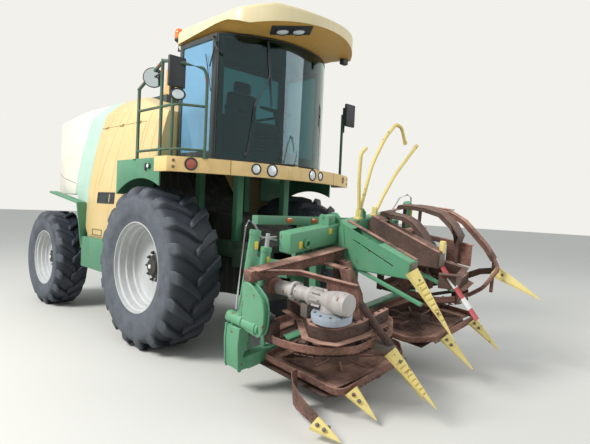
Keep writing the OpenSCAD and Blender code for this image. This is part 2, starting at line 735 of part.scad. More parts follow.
// Discharge spout, an inverted channel that falls away to its end
module spout_arm() color(cream) spout_at() {
    difference() {
        along_x(-arm_w, arm_w) polygon([[230, elbow_z + 120], [230, elbow_z + 270], [arm_y, arm_z + spout_t],
            [1500, arm_z + 60], [arm_end, arm_z - 120], [arm_end, arm_z - 330], [1500, arm_z - 190],
            [arm_y, arm_z - 260]]);
        along_x(-arm_w + spout_t, arm_w - spout_t)
            polygon([[100, elbow_z], [100, elbow_z + 800], [arm_y, arm_z], [1500, arm_z + 52],
                     [arm_end + 10, arm_z - 129], [arm_end + 10, arm_z - 500], [arm_y, arm_z - 500]]);
        rod_x(-400, 400, 12 + pin_gap, y = flap_pin[0], z = flap_pin[1]);
    }
    rod_x(-arm_w, arm_w, 20, y = 290, z = elbow_z + 200);
}

// Deflector at the spout's end, its cheeks outside the arm's
module spout_flap() color(cream) spout_at() {
    w = arm_w + 14;
    z = arm_z - 100;
    difference() {
        along_x(-w, w)
            polygon([[arm_end - 75, z + 18], [arm_end + 10, z + 8], [arm_end + 200, z - 90],
                     [arm_end + 320, z - 300], [arm_end + 230, z - 320], [arm_end + 60, z - 190],
                     [arm_end - 75, z - 160]]);
        along_x(-w + spout_t, w - spout_t)
            polygon([[arm_end - 85, z + 10], [arm_end + 6, z], [arm_end + 194, z - 97],
                     [arm_end + 316, z - 310], [arm_end + 100, z - 400], [arm_end - 85, z - 300]]);
    }
    rod_x(-w, w, 12, y = flap_pin[0], z = flap_pin[1]);
}

// Lift frame: a plate with the crop opening, arms on the lift pins and a cross beam above
module lift_frame() color(dark_green) place() {
    difference() {
        union() {
            block([-440, lift_plate_y, 600], [440, lift_plate_y + 60, 1400]);
            for (s = [-1, 1]) scale([s, 1, 1]) {
                block([440, lift_plate_y, lift_z - 90], [556, lift_plate_y + 60, lift_z + 90]);
                block([516, lift_plate_y, lift_z - 90], [556, lift_y + 60, lift_z + 90]);
                rod_x(440, 520, lift_pin_d / 2, y = lift_y, z = lift_z);
                block([300, lift_plate_y, 1400], [380, lift_plate_y + 60, 1540]);
            }
            block([-1000, lift_plate_y - 10, 1540], [1000, lift_plate_y + 80, 1630]);
        }
        block([-280, lift_plate_y - 10, 650], [280, lift_plate_y + 70, 1080]);
        rod_y(lift_plate_y - 100, lift_plate_y + 100, swing_d / 2 + pin_gap, z = swing_z);
    }
}

// The header's own frame: X across, Y back, origin between the two fold axes
module swing_at() place() translate([0, header_y, swing_z]) rotate([0, -header_roll, 0]) children();
module header_at() swing_at() translate([0, 0, fold_z - swing_z]) rotate([header_pitch, 0, 0]) children();

// Header frame: main beam, side columns with the fold pins, a tower and the swing pin
module header_frame() color(frame_green) {
    header_at() {
        block([-fold_x + 180, -120, deck_low], [fold_x - 180, 0, deck_low + 130]);
        for (s = [-1, 1]) scale([s, 1, 1]) {
            block([fold_x - 180, -200, deck_low], [fold_x - 60, 0, -70]);
            block([fold_x - 180, -400, -200], [fold_x - 60, -200, -30]);
            block([fold_x - 60, -400, -200], [fold_x + 20, -210, -20]);
            rod_y(-400, -210, fold_d / 2 + 25, x = fold_x);
            rod_y(-500, -110, fold_d / 2, x = fold_x);
        }
        for (x = [-330, 330]) block([x - 40, 0, deck_low], [x + 40, 100, 560]);
        block([-420, 0, 460], [420, 100, 580]);
        block([-290, 0, 300], [290, 100, 460]);
    }
    swing_at() rod_y(20, 190, swing_d / 2 + 30);
    swing_at() rod_y(150, 300, swing_d / 2);
}

// Rusty centre deck of the header with its collector loops
module header_deck() color(rust) header_at() {
    difference() {
        block([-1240, -980, deck_low], [1240, -120.3, deck_low + 20]);
        block([-200, -1200, -700], [200, -400, -200]);
    }
    for (s = [-1, 1]) scale([s, 1, 1]) {
        collector(1240, 120, deck_low + 70, deck_low + 100, -150, -1080);
        block([300, -900, deck_low + 20], [1100, -300, deck_low + 70]);
    }
}

// A flat hexagonal loop between u0 and u1 from the middle, from z0 to z1
module collector(u1, u0, z0, z1, y0, y1) translate([0, 0, z0]) linear_extrude(z1 - z0) difference() {
    polygon([[u0, y0], [u0, y1 + 200], [u0 + 240, y1], [u1 - 60, y1], [u1, y1 + 60], [u1, y0]]);
    polygon([[u0 + 110, y0 - 110], [u0 + 110, y1 + 250], [u0 + 290, y1 + 110], [u1 - 120, y1 + 110],
             [u1 - 110, y1 + 130], [u1 - 110, y0 - 110]]);
}

// Yellow tips of the centre section
module header_tips() color(tip_yellow) header_at() for (x = [-1090, -460, 460, 1090])
    divider_tip([x, -1080, deck_low + 85], 400, 150, 6, 15);

// A pointed crop divider from its base point: length, base width, fall in degrees and the half
// height of the face that carries it
module divider_tip(p, len, w, fall, carry = 35)
    translate(p - [0, min(tip_h / 2 * sin(fall), carry * tan(fall)) + seat_gap, 0]) rotate([fall, 0, 0])
        rotate([90, 0, 0]) linear_extrude(len, scale = 0.12) square([w, tip_h], center = true);

// Yellow guide tubes that stand over the folded wings
module guide_tubes() color(tip_yellow) header_at() {
    for (x = [100, 300]) block([x - 30, 10, 580 + seat_gap], [x + 30, 90, 610]);
    strut([100, 50, 595], [100, -400, 1640], 20);
    strut([300, 50, 595], [300, -600, 1480], 20);
    strut([100, -400, 1625], [100, -540, 1480], 20);
}

// Wing frame: hinge barrels, cross beam and the tapering end box
module wing_frame(s, end) color(frame_green) header_at() scale([s, 1, 1]) {
    difference() {
        union() {
            rod_y(-200, -120, fold_d / 2 + 25, x = fold_x);
            rod_y(-490, -410, fold_d / 2 + 25, x = fold_x);
            block([fold_x - 40, -200, 0], [fold_x + 40, -120, 600]);
            block([fold_x - 40, -490, 0], [fold_x + 40, -410, 300]);
            block([fold_x - 40, -490, 220], [fold_x + 40, -120, 300]);
            block([fold_x - end + 100, -200, 470], [fold_x + 40, -80, 600]);
            along_x(fold_x - end, fold_x - end + 150)
                polygon([[-60, 280], [-60, 680], [-900, 330], [-900, 170], [-200, 280]]);
        }
        rod_y(-500, -100, fold_d / 2 + pin_gap, x = fold_x);
    }
}
module wing_frame_right() wing_frame(-1, wing_end_right);
module wing_frame_left() wing_frame(1, wing_end_left);

// Rusty collector loop of a wing
module wing_deck(s, end) color(rust) header_at() scale([s, 1, 1]) {
    collector(fold_x + 40, fold_x - end + 160, 60, 90, -500, -1600);
    block([fold_x - end + 160, -520, 90], [fold_x - 60, -500, 469.7]);
    block([fold_x - end + 160, -500, 440], [fold_x - 60, -200.3, 469.7]);
}
module wing_deck_right() wing_deck(-1, wing_end_right);
module wing_deck_left() wing_deck(1, wing_end_left);

// Yellow tips of a wing
module wing_tips(s, end) color(tip_yellow) header_at() scale([s, 1, 1]) {
    divider_tip([fold_x - end + 75, -900, 250], 650, 150, 30);
    divider_tip([fold_x - 100, -1600, 75], 500, 130, 20, 15);
}
module wing_tips_right() wing_tips(-1, wing_end_right);
module wing_tips_left() wing_tips(1, wing_end_left);

// Silver gearbox tube of the stripped right wing
module wing_gearbox() color("#b9bdc2") header_at() {
    rod_y(-1150, -560, 85, x = -1130, z = 300);
    block([-1180, -605, 90 + seat_gap], [-1080, -520, 250]);
    translate([-1100, -900, 190]) cylinder(r = 170, h = 120);
}

frame();
hitch_plate();
lift_arms();
front_axle();
rear_axle();
engine();
feed_housing();
crop_housing();
side_boxes();
platform();
light_bar();
bar_lamps();
cab_shell();
cab_roof();
windscreen();
cab_glass();
seat();
console();
rails();
mirrors();
hood_top_panel();
hood_band();
rear_hood();
rear_fenders();
beacon();
cab_door();
door_glass();
side_panel_right();
side_panel_left();
rear_grille();
knuckle_right();
knuckle_left();
tyre_front_right();
rim_front_right();
tyre_front_left();
rim_front_left();
tyre_rear_right();
rim_rear_right();
tyre_rear_left();
rim_rear_left();
spout_elbow();
spout_arm();
spout_flap();
lift_frame();
header_frame();
header_deck();
header_tips();
guide_tubes();
wing_frame_right();
wing_deck_right();
wing_tips_right();
wing_gearbox();
wing_frame_left();
wing_deck_left();
wing_tips_left();
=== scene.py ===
import math

import bmesh
import bpy
from mathutils import Matrix, Vector
from mathutils.bvhtree import BVHTree


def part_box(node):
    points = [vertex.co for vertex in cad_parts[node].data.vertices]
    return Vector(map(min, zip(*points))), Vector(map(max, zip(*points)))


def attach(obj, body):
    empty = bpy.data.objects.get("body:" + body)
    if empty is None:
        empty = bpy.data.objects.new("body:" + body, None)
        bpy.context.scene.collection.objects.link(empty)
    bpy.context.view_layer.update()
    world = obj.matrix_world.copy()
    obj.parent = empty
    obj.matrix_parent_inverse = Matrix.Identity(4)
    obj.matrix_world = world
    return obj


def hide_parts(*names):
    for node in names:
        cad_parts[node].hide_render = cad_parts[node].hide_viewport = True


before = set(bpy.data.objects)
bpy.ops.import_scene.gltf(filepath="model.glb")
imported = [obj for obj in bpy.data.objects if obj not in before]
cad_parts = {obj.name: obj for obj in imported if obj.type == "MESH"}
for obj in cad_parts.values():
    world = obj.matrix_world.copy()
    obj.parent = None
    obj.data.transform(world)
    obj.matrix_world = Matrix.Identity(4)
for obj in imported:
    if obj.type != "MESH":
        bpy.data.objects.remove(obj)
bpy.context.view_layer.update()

# Camera
# Standing a few metres off the right front corner at eye height, with a phone's wide lens and
# a slight tilt. Its place is measured from the middle of the front axle on the ground.
axle = (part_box("rim_front_right")[0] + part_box("rim_front_left")[1]) / 2
axle.z = 0.0


def mm(x, y, z):
    """A point in millimetres from the front axle's middle on the ground, as a place in metres."""
    return axle + Vector((x, y, z)) / 1000


def new_object(name, data):
    """Makes an object of some data and links it to the scene."""
    made = bpy.data.objects.new(name, data)
    bpy.context.scene.collection.objects.link(made)
    return made


def look_along(seer, direction):
    """Turns a camera or a lamp so that it looks along a direction."""
    seer.rotation_mode = "QUATERNION"
    seer.rotation_quaternion = direction.to_track_quat("-Z", "Y")


camera_data = bpy.data.cameras.new("camera")
camera_data.sensor_width = 36.0
camera_data.lens = 30.41
camera_data.clip_start = 0.1
camera_data.clip_end = 200.0
camera = new_object("camera", camera_data)
azimuth, elevation, roll = [math.radians(angle) for angle in (-45.098, 1.666, 2.589)]
camera.location = mm(-4237, -5356, 1725)
look_along(camera, -Vector((math.sin(azimuth) * math.cos(elevation),
                            -math.cos(azimuth) * math.cos(elevation),
                            math.sin(elevation))))
camera.rotation_quaternion @= Matrix.Rotation(roll, 4, "Z").to_quaternion()
bpy.context.scene.camera = camera


# Floor, backdrop and studio light
# A pale concrete-coloured floor that the camera and glossy surfaces see as plain off-white, one
# large soft lamp high on the right as the sun stood, a weaker one on the left, and a pale sky.
def linear(code):
    """An sRGB hex colour as linear RGBA."""
    parts = [int(code[i:i + 2], 16) / 255 for i in (1, 3, 5)]
    return [c / 12.92 if c <= 0.04045 else ((c + 0.055) / 1.055) ** 2.4 for c in parts] + [1.0]


def fill(tree, node, inputs):
    """Fills a node's inputs with links from sockets or whole nodes, with values or hex colours."""
    for key, value in inputs.items():
        if isinstance(value, bpy.types.Node):
            value = next(output for output in value.outputs if output.enabled)
        if isinstance(value, bpy.types.NodeSocket):
            tree.links.new(value, node.inputs[key])
        else:
            node.inputs[key].default_value = linear(value) if isinstance(value, str) else value


def add(tree, kind, inputs, **settings):
    """Adds a node with its settings to a tree and fills its inputs."""
    made = tree.nodes.new(kind)
    for key, value in settings.items():
        setattr(made, key, value)
    fill(tree, made, inputs)
    return made


def finish(material, inputs):
    """Fills inputs of a material's Principled shader."""
    fill(material.node_tree, material.node_tree.nodes["Principled BSDF"], inputs)
    return material


def new_material(name, inputs):
    """A material with some inputs of its Principled shader filled."""
    material = bpy.data.materials.new(name)
    material.use_nodes = True
    return finish(material, inputs)


floor_mesh = bpy.data.meshes.new("floor")
floor_form = bmesh.new()
bmesh.ops.create_grid(floor_form, x_segments=1, y_segments=1, size=60.0)
floor_form.to_mesh(floor_mesh)
floor_form.free()
concrete = new_material("pale_studio_floor", {"Base Color": "#C9C7C0", "Roughness": 0.9})
floor_mesh.materials.append(concrete)
floor = new_object("floor", floor_mesh)
floor.location.z = -0.001

world = bpy.data.worlds.new("studio")
bpy.context.scene.world = world
world.use_nodes = True
sky_tree = world.node_tree
sky = sky_tree.nodes["Background"]
fill(sky_tree, sky, {"Color": "#E4EAF0", "Strength": 0.85})
backdrop = add(sky_tree, "ShaderNodeBackground", {"Color": "#F2F1EC", "Strength": 1.0})
rays = add(sky_tree, "ShaderNodeLightPath", {}).outputs
seen = rays["Is Camera Ray"]
for kind in ("Is Transmission Ray", "Is Glossy Ray"):
    seen = add(sky_tree, "ShaderNodeMath", {0: seen, 1: rays[kind]}, operation="MAXIMUM")
mixed = add(sky_tree, "ShaderNodeMixShader", {0: seen, 1: sky, 2: backdrop})
fill(sky_tree, sky_tree.nodes["World Output"], {"Surface": mixed})

lamp_aim = Vector((0.0, 0.0, 1.5))
for name, place, width, power in (("key", (-9.0, 1.0, 9.0), 4.0, 1500.0),
                                  ("fill", (7.0, -10.0, 6.0), 6.0, 420.0)):
    lamp_data = bpy.data.lights.new(name, "AREA")
    lamp_data.shape = "SQUARE"
    lamp_data.size = width
    lamp_data.energy = power
    lamp = new_object(name, lamp_data)
    lamp.location = place
    look_along(lamp, lamp_aim - Vector(place))
bpy.context.scene.view_settings.view_transform = "Standard"


# Painted sheet metal and mouldings
# Two-part enamel on steel and gel coat on moulded panels, some thirty years in the sun: the
# colour has bleached in clouds, rain has drawn dusty streaks down it, and it has chipped to rust.
def weathered_paint(name, fresh, bleached, roughness, dust=0.25, chips=0.0, soil="#8C7F69"):
    """Enamel that has bleached, gathered dust and, where chips is above zero, chipped to rust."""
    material = new_material(name, {})
    tree = material.node_tree
    place = add(tree, "ShaderNodeTexCoord", {}).outputs["Object"]
    clouds = add(tree, "ShaderNodeTexNoise",
                 {"Vector": place, "Scale": 1.6, "Detail": 4.0, "Roughness": 0.6})
    grit = add(tree, "ShaderNodeTexNoise",
               {"Vector": place, "Scale": 90.0, "Detail": 6.0, "Roughness": 0.7})
    rain = add(tree, "ShaderNodeMapping", {"Vector": place, "Scale": (14.0, 14.0, 1.1)})
    streaks = add(tree, "ShaderNodeTexNoise",
                  {"Vector": rain, "Scale": 1.0, "Detail": 5.0, "Roughness": 0.65})
    dusty = add(tree, "ShaderNodeMapRange",
                {"Value": streaks, "From Min": 0.48, "From Max": 0.78, "To Max": dust})
    color = add(tree, "ShaderNodeMix", {"Factor": clouds, "A": fresh, "B": bleached}, data_type="RGBA")
    color = add(tree, "ShaderNodeMix", {"Factor": dusty, "A": color, "B": soil}, data_type="RGBA")
    rough = add(tree, "ShaderNodeMapRange",
                {"Value": streaks, "From Min": 0.3, "From Max": 0.8,
                 "To Min": roughness - 0.06, "To Max": roughness + 0.2})
    if chips > 0:
        chips_start = 0.68 - chips * 0.22
        patches = add(tree, "ShaderNodeTexNoise",
                      {"Vector": place, "Scale": 9.0, "Detail": 9.0, "Roughness": 0.72})
        chipped = add(tree, "ShaderNodeMapRange",
                      {"Value": patches, "From Min": chips_start, "From Max": chips_start + 0.03})
        rust = add(tree, "ShaderNodeMix", {"Factor": grit, "A": "#4A2C20", "B": "#8A5A3E"},
                   data_type="RGBA")
        color = add(tree, "ShaderNodeMix", {"Factor": chipped, "A": color, "B": rust}, data_type="RGBA")
        rough = add(tree, "ShaderNodeMix", {"Factor": chipped, "A": rough, "B": 0.85})
    bump = add(tree, "ShaderNodeBump", {"Height": grit, "Strength": 0.12, "Distance": 0.002})
    return finish(material, {"Base Color": color, "Roughness": rough, "Normal": bump})


def bevel(form, edges, width_mm, segments=2):
    """Rounds some edges of a form."""
    bmesh.ops.bevel(form, geom=edges, offset=width_mm / 1000, affect="EDGES", segments=segments,
                    profile=0.5, clamp_overlap=True, material=-1)


def dress(node, material, body="chassis", bevel_mm=3.0, angle=28, reshape=None):
    """A CAD node's own form with its corners rounded and its curves smooth, in a real finish."""
    form = bmesh.new()
    form.from_mesh(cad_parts[node].data)
    bmesh.ops.remove_doubles(form, verts=form.verts, dist=1e-5)
    for vert in form.verts if reshape else ():
        vert.co = reshape(vert.co)
    bmesh.ops.dissolve_limit(form, angle_limit=math.radians(0.6), verts=form.verts, edges=form.edges)
    if bevel_mm > 0:
        sharp = [e for e in form.edges
                 if len(e.link_faces) == 2 and e.calc_face_angle() > math.radians(angle)]
        bevel(form, sharp, bevel_mm)
    finished_piece(node + "_dressed", form, material, body, [node], angle)


def finished_piece(name, form, material, body="chassis", stands_for=(), angle=35):
    """Makes an object of a bmesh, gives it its finish and lets it ride on its body."""
    mesh = bpy.data.meshes.new(name)
    form.to_mesh(mesh)
    form.free()
    for face in mesh.polygons:
        face.use_smooth = True
    mesh.set_sharp_from_angle(angle=math.radians(angle))
    mesh.materials.append(material)
    made = new_object(name, mesh)
    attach(made, body)
    if stands_for:
        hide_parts(*stands_for)
    return made


# Frame, axles, hitch and lift arms
# Rolled and welded steel under everything, bolted up at the axles. It has a dark green enamel
# that dust and oil have streaked, darkened further with painted shade.
painted_shade_green = weathered_paint("shaded_green_enamel", "#274735", "#3F5F4B", 0.6, 0.5, 0.5)
for node in ("frame", "hitch_plate", "lift_arms", "front_axle", "rear_axle"):
    dress(node, painted_shade_green)
for node in ("knuckle_right", "knuckle_left"):
    dress(node, painted_shade_green, node)

# Engine and crop housings
# A cast engine block and folded sheet housings, in a grey green that is black with oil and chaff.
engine_iron = weathered_paint("oily_engine_enamel", "#2B2D2C", "#3F413E", 0.7, 0.5)
dress("engine", engine_iron)
dress("feed_housing", engine_iron)
dress("crop_housing", engine_iron)

# Boxes, platform, fenders and rails
# Folded sheet steel and bent tube, welded and sprayed mid green. Boots and weather have chipped it.
machine_green = weathered_paint("machine_green_enamel", "#316B4C", "#5C9273", 0.45, 0.3, 0.25)
for node in ("side_boxes", "platform", "rear_fenders"):
    dress(node, machine_green)
# The rails take the same green with its painted shade.
dress("rails", painted_shade_green, bevel_mm=0)


# Platform lamp and plate
# A side marker lamp on black rubber and a bare pale number plate in front of it. Lenses are of
# clear or coloured plastic over a bright reflector, glossy enough to catch the sky.
def take_in(form, part, at):
    """Moves a small form by a matrix and adds it to a larger one."""
    part.transform(at)
    mesh = bpy.data.meshes.new("part")
    part.to_mesh(mesh)
    part.free()
    form.from_mesh(mesh)
    bpy.data.meshes.remove(mesh)


def add_block(form, low, high, at, round_mm=4.0):
    """Adds a block with rounded edges between two corners in millimetres, moved by a matrix."""
    part = bmesh.new()
    bmesh.ops.create_cube(part, size=1.0)
    size = Vector(high) - Vector(low)
    for vert in part.verts:
        vert.co = Vector([low[i] + (vert.co[i] + 0.5) * size[i] for i in range(3)]) / 1000
    bevel(part, part.edges[:], min(round_mm, min(size) / 3))
    take_in(form, part, at)


def add_turned(form, profile, at, steps=32):
    """Adds a closed profile of (radius, height) points in millimetres turned round local Z."""
    part = bmesh.new()
    ring = [part.verts.new((r / 1000, 0, h / 1000)) for r, h in profile]
    edges = [part.edges.new((ring[k - 1], ring[k])) for k in range(len(ring))]
    bmesh.ops.spin(part, geom=ring + edges, cent=(0, 0, 0), axis=(0, 0, 1), angle=math.tau,
                   steps=steps, use_merge=True)
    bmesh.ops.remove_doubles(part, verts=part.verts, dist=1e-6)
    loose = [e for e in part.edges if not e.link_faces]
    bmesh.ops.delete(part, geom=loose, context="EDGES")
    take_in(form, part, at)


def shift(x, y, z):
    """A matrix that moves by millimetres."""
    return Matrix.Translation(Vector((x, y, z)) / 1000)


def swing(degrees, axis):
    """A matrix that turns by degrees about an axis."""
    return Matrix.Rotation(math.radians(degrees), 4, axis)


def towards(place, direction):
    """A matrix that puts local Z along a direction at a place in metres."""
    turn = Vector(direction).to_track_quat("Z", "Y").to_matrix().to_4x4()
    return Matrix.Translation(place) @ turn


def new_piece(name, form, material, body="chassis", stands_for=(), angle=35):
    """A finished piece whose faces are first turned outwards."""
    bmesh.ops.recalc_face_normals(form, faces=form.faces)
    return finished_piece(name, form, material, body, stands_for, angle)


def plain_material(name, color, roughness, coat=0.0):
    """One even colour, for lenses and small mouldings."""
    return new_material(name, {"Base Color": color, "Roughness": roughness, "Coat Weight": coat})


def black_piece(name, form, body="chassis"):
    """A new piece of black moulded rubber or plastic."""
    new_piece(name, form, black_rubber, body)


ground = Matrix.Translation(axle)
black_rubber = new_material("black_moulded_rubber", {"Roughness": 0.62})
rubber_tree = black_rubber.node_tree
rubber_place = add(rubber_tree, "ShaderNodeTexCoord", {}).outputs["Object"]
rubber_cloud = add(rubber_tree, "ShaderNodeTexNoise",
                   {"Vector": rubber_place, "Scale": 12.0, "Detail": 6.0})
rubber_tone = add(rubber_tree, "ShaderNodeMix",
                  {"Factor": rubber_cloud, "A": "#14171A", "B": "#33373A"}, data_type="RGBA")
finish(black_rubber, {"Base Color": rubber_tone})
clear_lens = plain_material("clear_lamp_lens", "#D9DEE0", 0.08, 1.0)
amber_lens = plain_material("amber_lamp_lens", "#C25A1E", 0.12, 1.0)
red_lens = plain_material("red_brown_lamp_lens", "#9C4530", 0.12, 1.0)
pale_plate = weathered_paint("pale_plastic_plate", "#B9CDD2", "#D7E2E2", 0.5, 0.1)

plate_form = bmesh.new()
add_block(plate_form, (-1436, -462, 2078), (-1430, -362, 2152), ground, 2.0)
new_piece("bare_plate", plate_form, pale_plate)
marker_form = bmesh.new()
marker_at = towards(mm(-1430, -205, 2118), (-1, 0, 0))
add_turned(marker_form, [(0, 0), (30, 0), (30, 16), (24, 22), (0, 22)], marker_at, 24)
add_block(marker_form, (-1446, -150, 2068), (-1430, -118, 2150), ground, 4.0)
black_piece("marker_base", marker_form)
lens_form = bmesh.new()
add_turned(lens_form, [(0, 20), (22, 20), (21, 26), (14, 31), (0, 33)], marker_at, 24)
new_piece("marker_lens", lens_form, clear_lens)

# Light bar and its lamps
# One bowed sheet steel pressing along the platform's edge, enamelled warm yellow, with round
# lamps let in: domed lenses, clear, amber and red brown, in black rubber rims.
bar_yellow = weathered_paint("light_bar_yellow_enamel", "#D3AC68", "#E2C48A", 0.4, 0.1)
dress("light_bar", bar_yellow, bevel_mm=5.0)
bar_low, bar_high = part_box("light_bar")
bar_half = (bar_high.x - bar_low.x) * 500
bar_sag = 400
bar_radius = (bar_half ** 2 + bar_sag ** 2) / (2 * bar_sag)
bar_front = (bar_low.y - axle.y) * 1000
bar_middle_z = (bar_low.z + bar_high.z) / 2 * 1000


def bar_place(x, up=0.0):
    """A matrix on the light bar's face: local Z points forwards, out of the face."""
    turn = math.asin(x / bar_radius)
    place = mm(bar_radius * math.sin(turn), bar_front + bar_radius * (1 - math.cos(turn)),
               bar_middle_z + up)
    return towards(place, (math.sin(turn), -math.cos(turn), 0))


lamp_rims = bmesh.new()
lamp_lenses = {"clear": bmesh.new(), "amber": bmesh.new(), "red": bmesh.new()}
lamps_up = 8
lamp_table = (  # distance from the middle, radius, lens
    (-1275, 62, "red"), (-560, 56, "clear"), (-345, 68, "clear"),
    (335, 64, "clear"), (510, 50, "clear"), (1215, 36, "amber"))
for x, r, kind in lamp_table:
    at = bar_place(x, lamps_up)
    add_turned(lamp_rims, [(r - 4, -24), (r + 1, -24), (r + 1, 0), (r + 9, 0), (r + 8, 6), (r + 2, 9),
                           (r - 5, 7), (r - 9, 1), (r - 9, -20)], at, 40)
    add_turned(lamp_lenses[kind], [(0, -26), (r - 8, -26), (r - 6, -6), (r - 8, 1), (r * 0.75, 4),
                                   (r * 0.4, 7), (0, 8)], at, 40)
# Blank plugs close the bar's unused openings, sprayed over with it
plugs = bmesh.new()
for x, r in ((-1180, 66), (-700, 38), (-180, 70), (30, 84), (390, 84), (600, 70), (1180, 48)):
    add_turned(plugs, [(0, -6), (r, -6), (r, 0), (r - 2, 1.5), (0, 1.5)], bar_place(x, lamps_up), 48)
new_piece("bar_plugs", plugs, bar_yellow)
black_piece("lamp_rims", lamp_rims)
new_piece("clear_lamp_lenses", lamp_lenses["clear"], clear_lens, stands_for=["bar_lamps"])
new_piece("amber_lamp_lens", lamp_lenses["amber"], amber_lens)
new_piece("red_lamp_lens", lamp_lenses["red"], red_lens)


def add_bolts(form, places, radius, height):
    """Adds a hexagon head on a washer at each of some matrices, standing along local Z."""
    washer = height * 0.3
    for at in places:
        add_turned(form, [(0, 0), (radius * 1.5, 0), (radius * 1.5, washer), (0, washer)], at, 20)
        add_turned(form, [(0, washer), (radius, washer), (radius, height * 0.9),
                          (radius * 0.85, height), (0, height)], at, 6)


# Zinc that has gone grey brown, with darker rust where it is worn through
bolt_steel = weathered_paint("rusty_zinc_bolts", "#4C4640", "#7A7066", 0.55, 0.3, 0.4)
bar_bolts = bmesh.new()
add_bolts(bar_bolts, [bar_place(x, up) for x in (-1440, 1440) for up in (-32, 36)], 11, 9)
new_piece("light_bar_bolts", bar_bolts, bolt_steel)
seam_form = bmesh.new()
for x in (-865, 865):
    add_block(seam_form, (-3, -78, -6), (3, 78, 1.0), bar_place(x), 1.0)
black_piece("light_bar_seams", seam_form)

# Cab body
# Welded steel pillars, floor pan and rear wall round a bowed front, painted black, and a door
# in the same paint. The screen's rubber seals come with the wipers.
cab_black = weathered_paint("cab_black_enamel", "#1D2424", "#303A38", 0.42, 0.2)
dress("cab_shell", cab_black, bevel_mm=6.0)
dress("cab_door", cab_black, "door", bevel_mm=5.0)

# Cab glass
# Green tinted safety glass, bent for the front pane, glued and sealed into its openings, its
# reflections given a painted pale blue tint for the sky. The flat side panes are coloured pale
# blue as a painted reflection of the open sky, which hides most of what is inside.
# The pale blue Specular Tint is a painted sky colour on the front pane's reflections.
tinted_glass = new_material("green_tinted_safety_glass", {
    "Base Color": "#7DAF9C", "Roughness": 0.03, "IOR": 1.5, "Transmission Weight": 1.0,
    "Specular Tint": "#DCEBFF"})
# The side panes' pale blue base colour is a painted reflection of the sky.
sky_glass = new_material("side_glass_painted_sky_reflection", {
    "Base Color": "#8CC4E4", "Roughness": 0.04, "IOR": 1.5, "Transmission Weight": 0.55})
screen_radius = 1212.5
screen_middle = 162.5
screen_foot = 2226
screen_top = 3652
screen_half_turn = 47.1


def screen_place(turn, up, out):
    """A place in mm by the bonded screen: at a turn in radians, a height, and mm out of the cab."""
    reach = screen_radius + out
    return (reach * math.sin(turn), screen_middle - reach * math.cos(turn), up)


def join_rows(form, rows, closed=True):
    """Fills the space between rows of vertices with faces, row to row."""
    count = len(rows[0])
    for one, other in zip(rows, rows[1:]):
        for k in range(count if closed else count - 1):
            after = (k + 1) % count
            form.faces.new((one[k], one[after], other[after], other[k]))


screen_form = bmesh.new()
screen_corners = ((10, screen_foot), (10, screen_top), (5, screen_top), (5, screen_foot))
screen_rows = []
for k in range(49):
    turn = math.radians(screen_half_turn * (k / 24 - 1))
    screen_rows.append([screen_form.verts.new(mm(*screen_place(turn, up, out)))
                        for out, up in screen_corners])
join_rows(screen_form, screen_rows)
screen_form.faces.new(screen_rows[0])
screen_form.faces.new(screen_rows[-1])
new_piece("bonded_screen", screen_form, tinted_glass, stands_for=["windscreen"])
dress("cab_glass", sky_glass, bevel_mm=0)
dress("door_glass", sky_glass, "door", bevel_mm=0)

# Roof
# One moulded shell with a deep visor, gel coated: bleached cream on top where the sun stands and
# still ochre underneath, with a black recess for two lamps let into the visor's soffit.
roof_gelcoat = weathered_paint("bleached_roof_gelcoat", "#C3B283", "#DACFAB", 0.42, 0.12)
soffit_ochre = weathered_paint("ochre_soffit_gelcoat", "#BF8F3F", "#CFA55C", 0.45, 0.1)
roof_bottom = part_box("cab_roof")[0].z * 1000
roof_top = roof_bottom + 308
roof_half = 930
roof_rear = 150
roof_middle = -650
visor_round = 1126
visor_middle = -434
visor_start = -1165
visor_long = 445
lip_rise = 84
side_start = 800
arch_middle = -800
long_arch = 3200
cross_arch = 3600
crown_drop = 12
corner_turn = math.asin(roof_half / visor_round)
plan = [(roof_half - 40, roof_rear), (0, roof_rear), (-roof_half + 40, roof_rear)]
plan += [(-roof_half, roof_rear - 40 - 110 * k) for k in range(11)]
for k in range(33):
    turn = corner_turn * (k / 16 - 1)
    plan.append((visor_round * math.sin(turn), visor_middle - visor_round * math.cos(turn)))
plan += [(roof_half, roof_rear - 40 - 110 * k) for k in range(10, -1, -1)]


def roof_top_height(x, y):
    """The crown's height in mm: one long arch along the cab and a flatter one across it."""
    along = roof_top - long_arch + math.sqrt(long_arch ** 2 - (y - arch_middle) ** 2)
    across = roof_top + 8 - cross_arch + math.sqrt(cross_arch ** 2 - x ** 2)
    return min(along, across) - crown_drop


def between(value, low=0.0, high=1.0):
    """A value kept between two limits."""
    return min(high, max(low, value))


def roof_soffit_height(x, y):
    """The underside's height in mm: level on the cab, rising to the visor's lip and at the sides."""
    visor_rise = max(0.0, (visor_start - y) / visor_long * lip_rise)
    side_rise = lip_rise * between((roof_rear - y) / 830) * between((abs(x) - side_start) / 90)
    side_rise *= between((y - visor_start) / 300)
    return roof_bottom + 5 + max(visor_rise, side_rise)


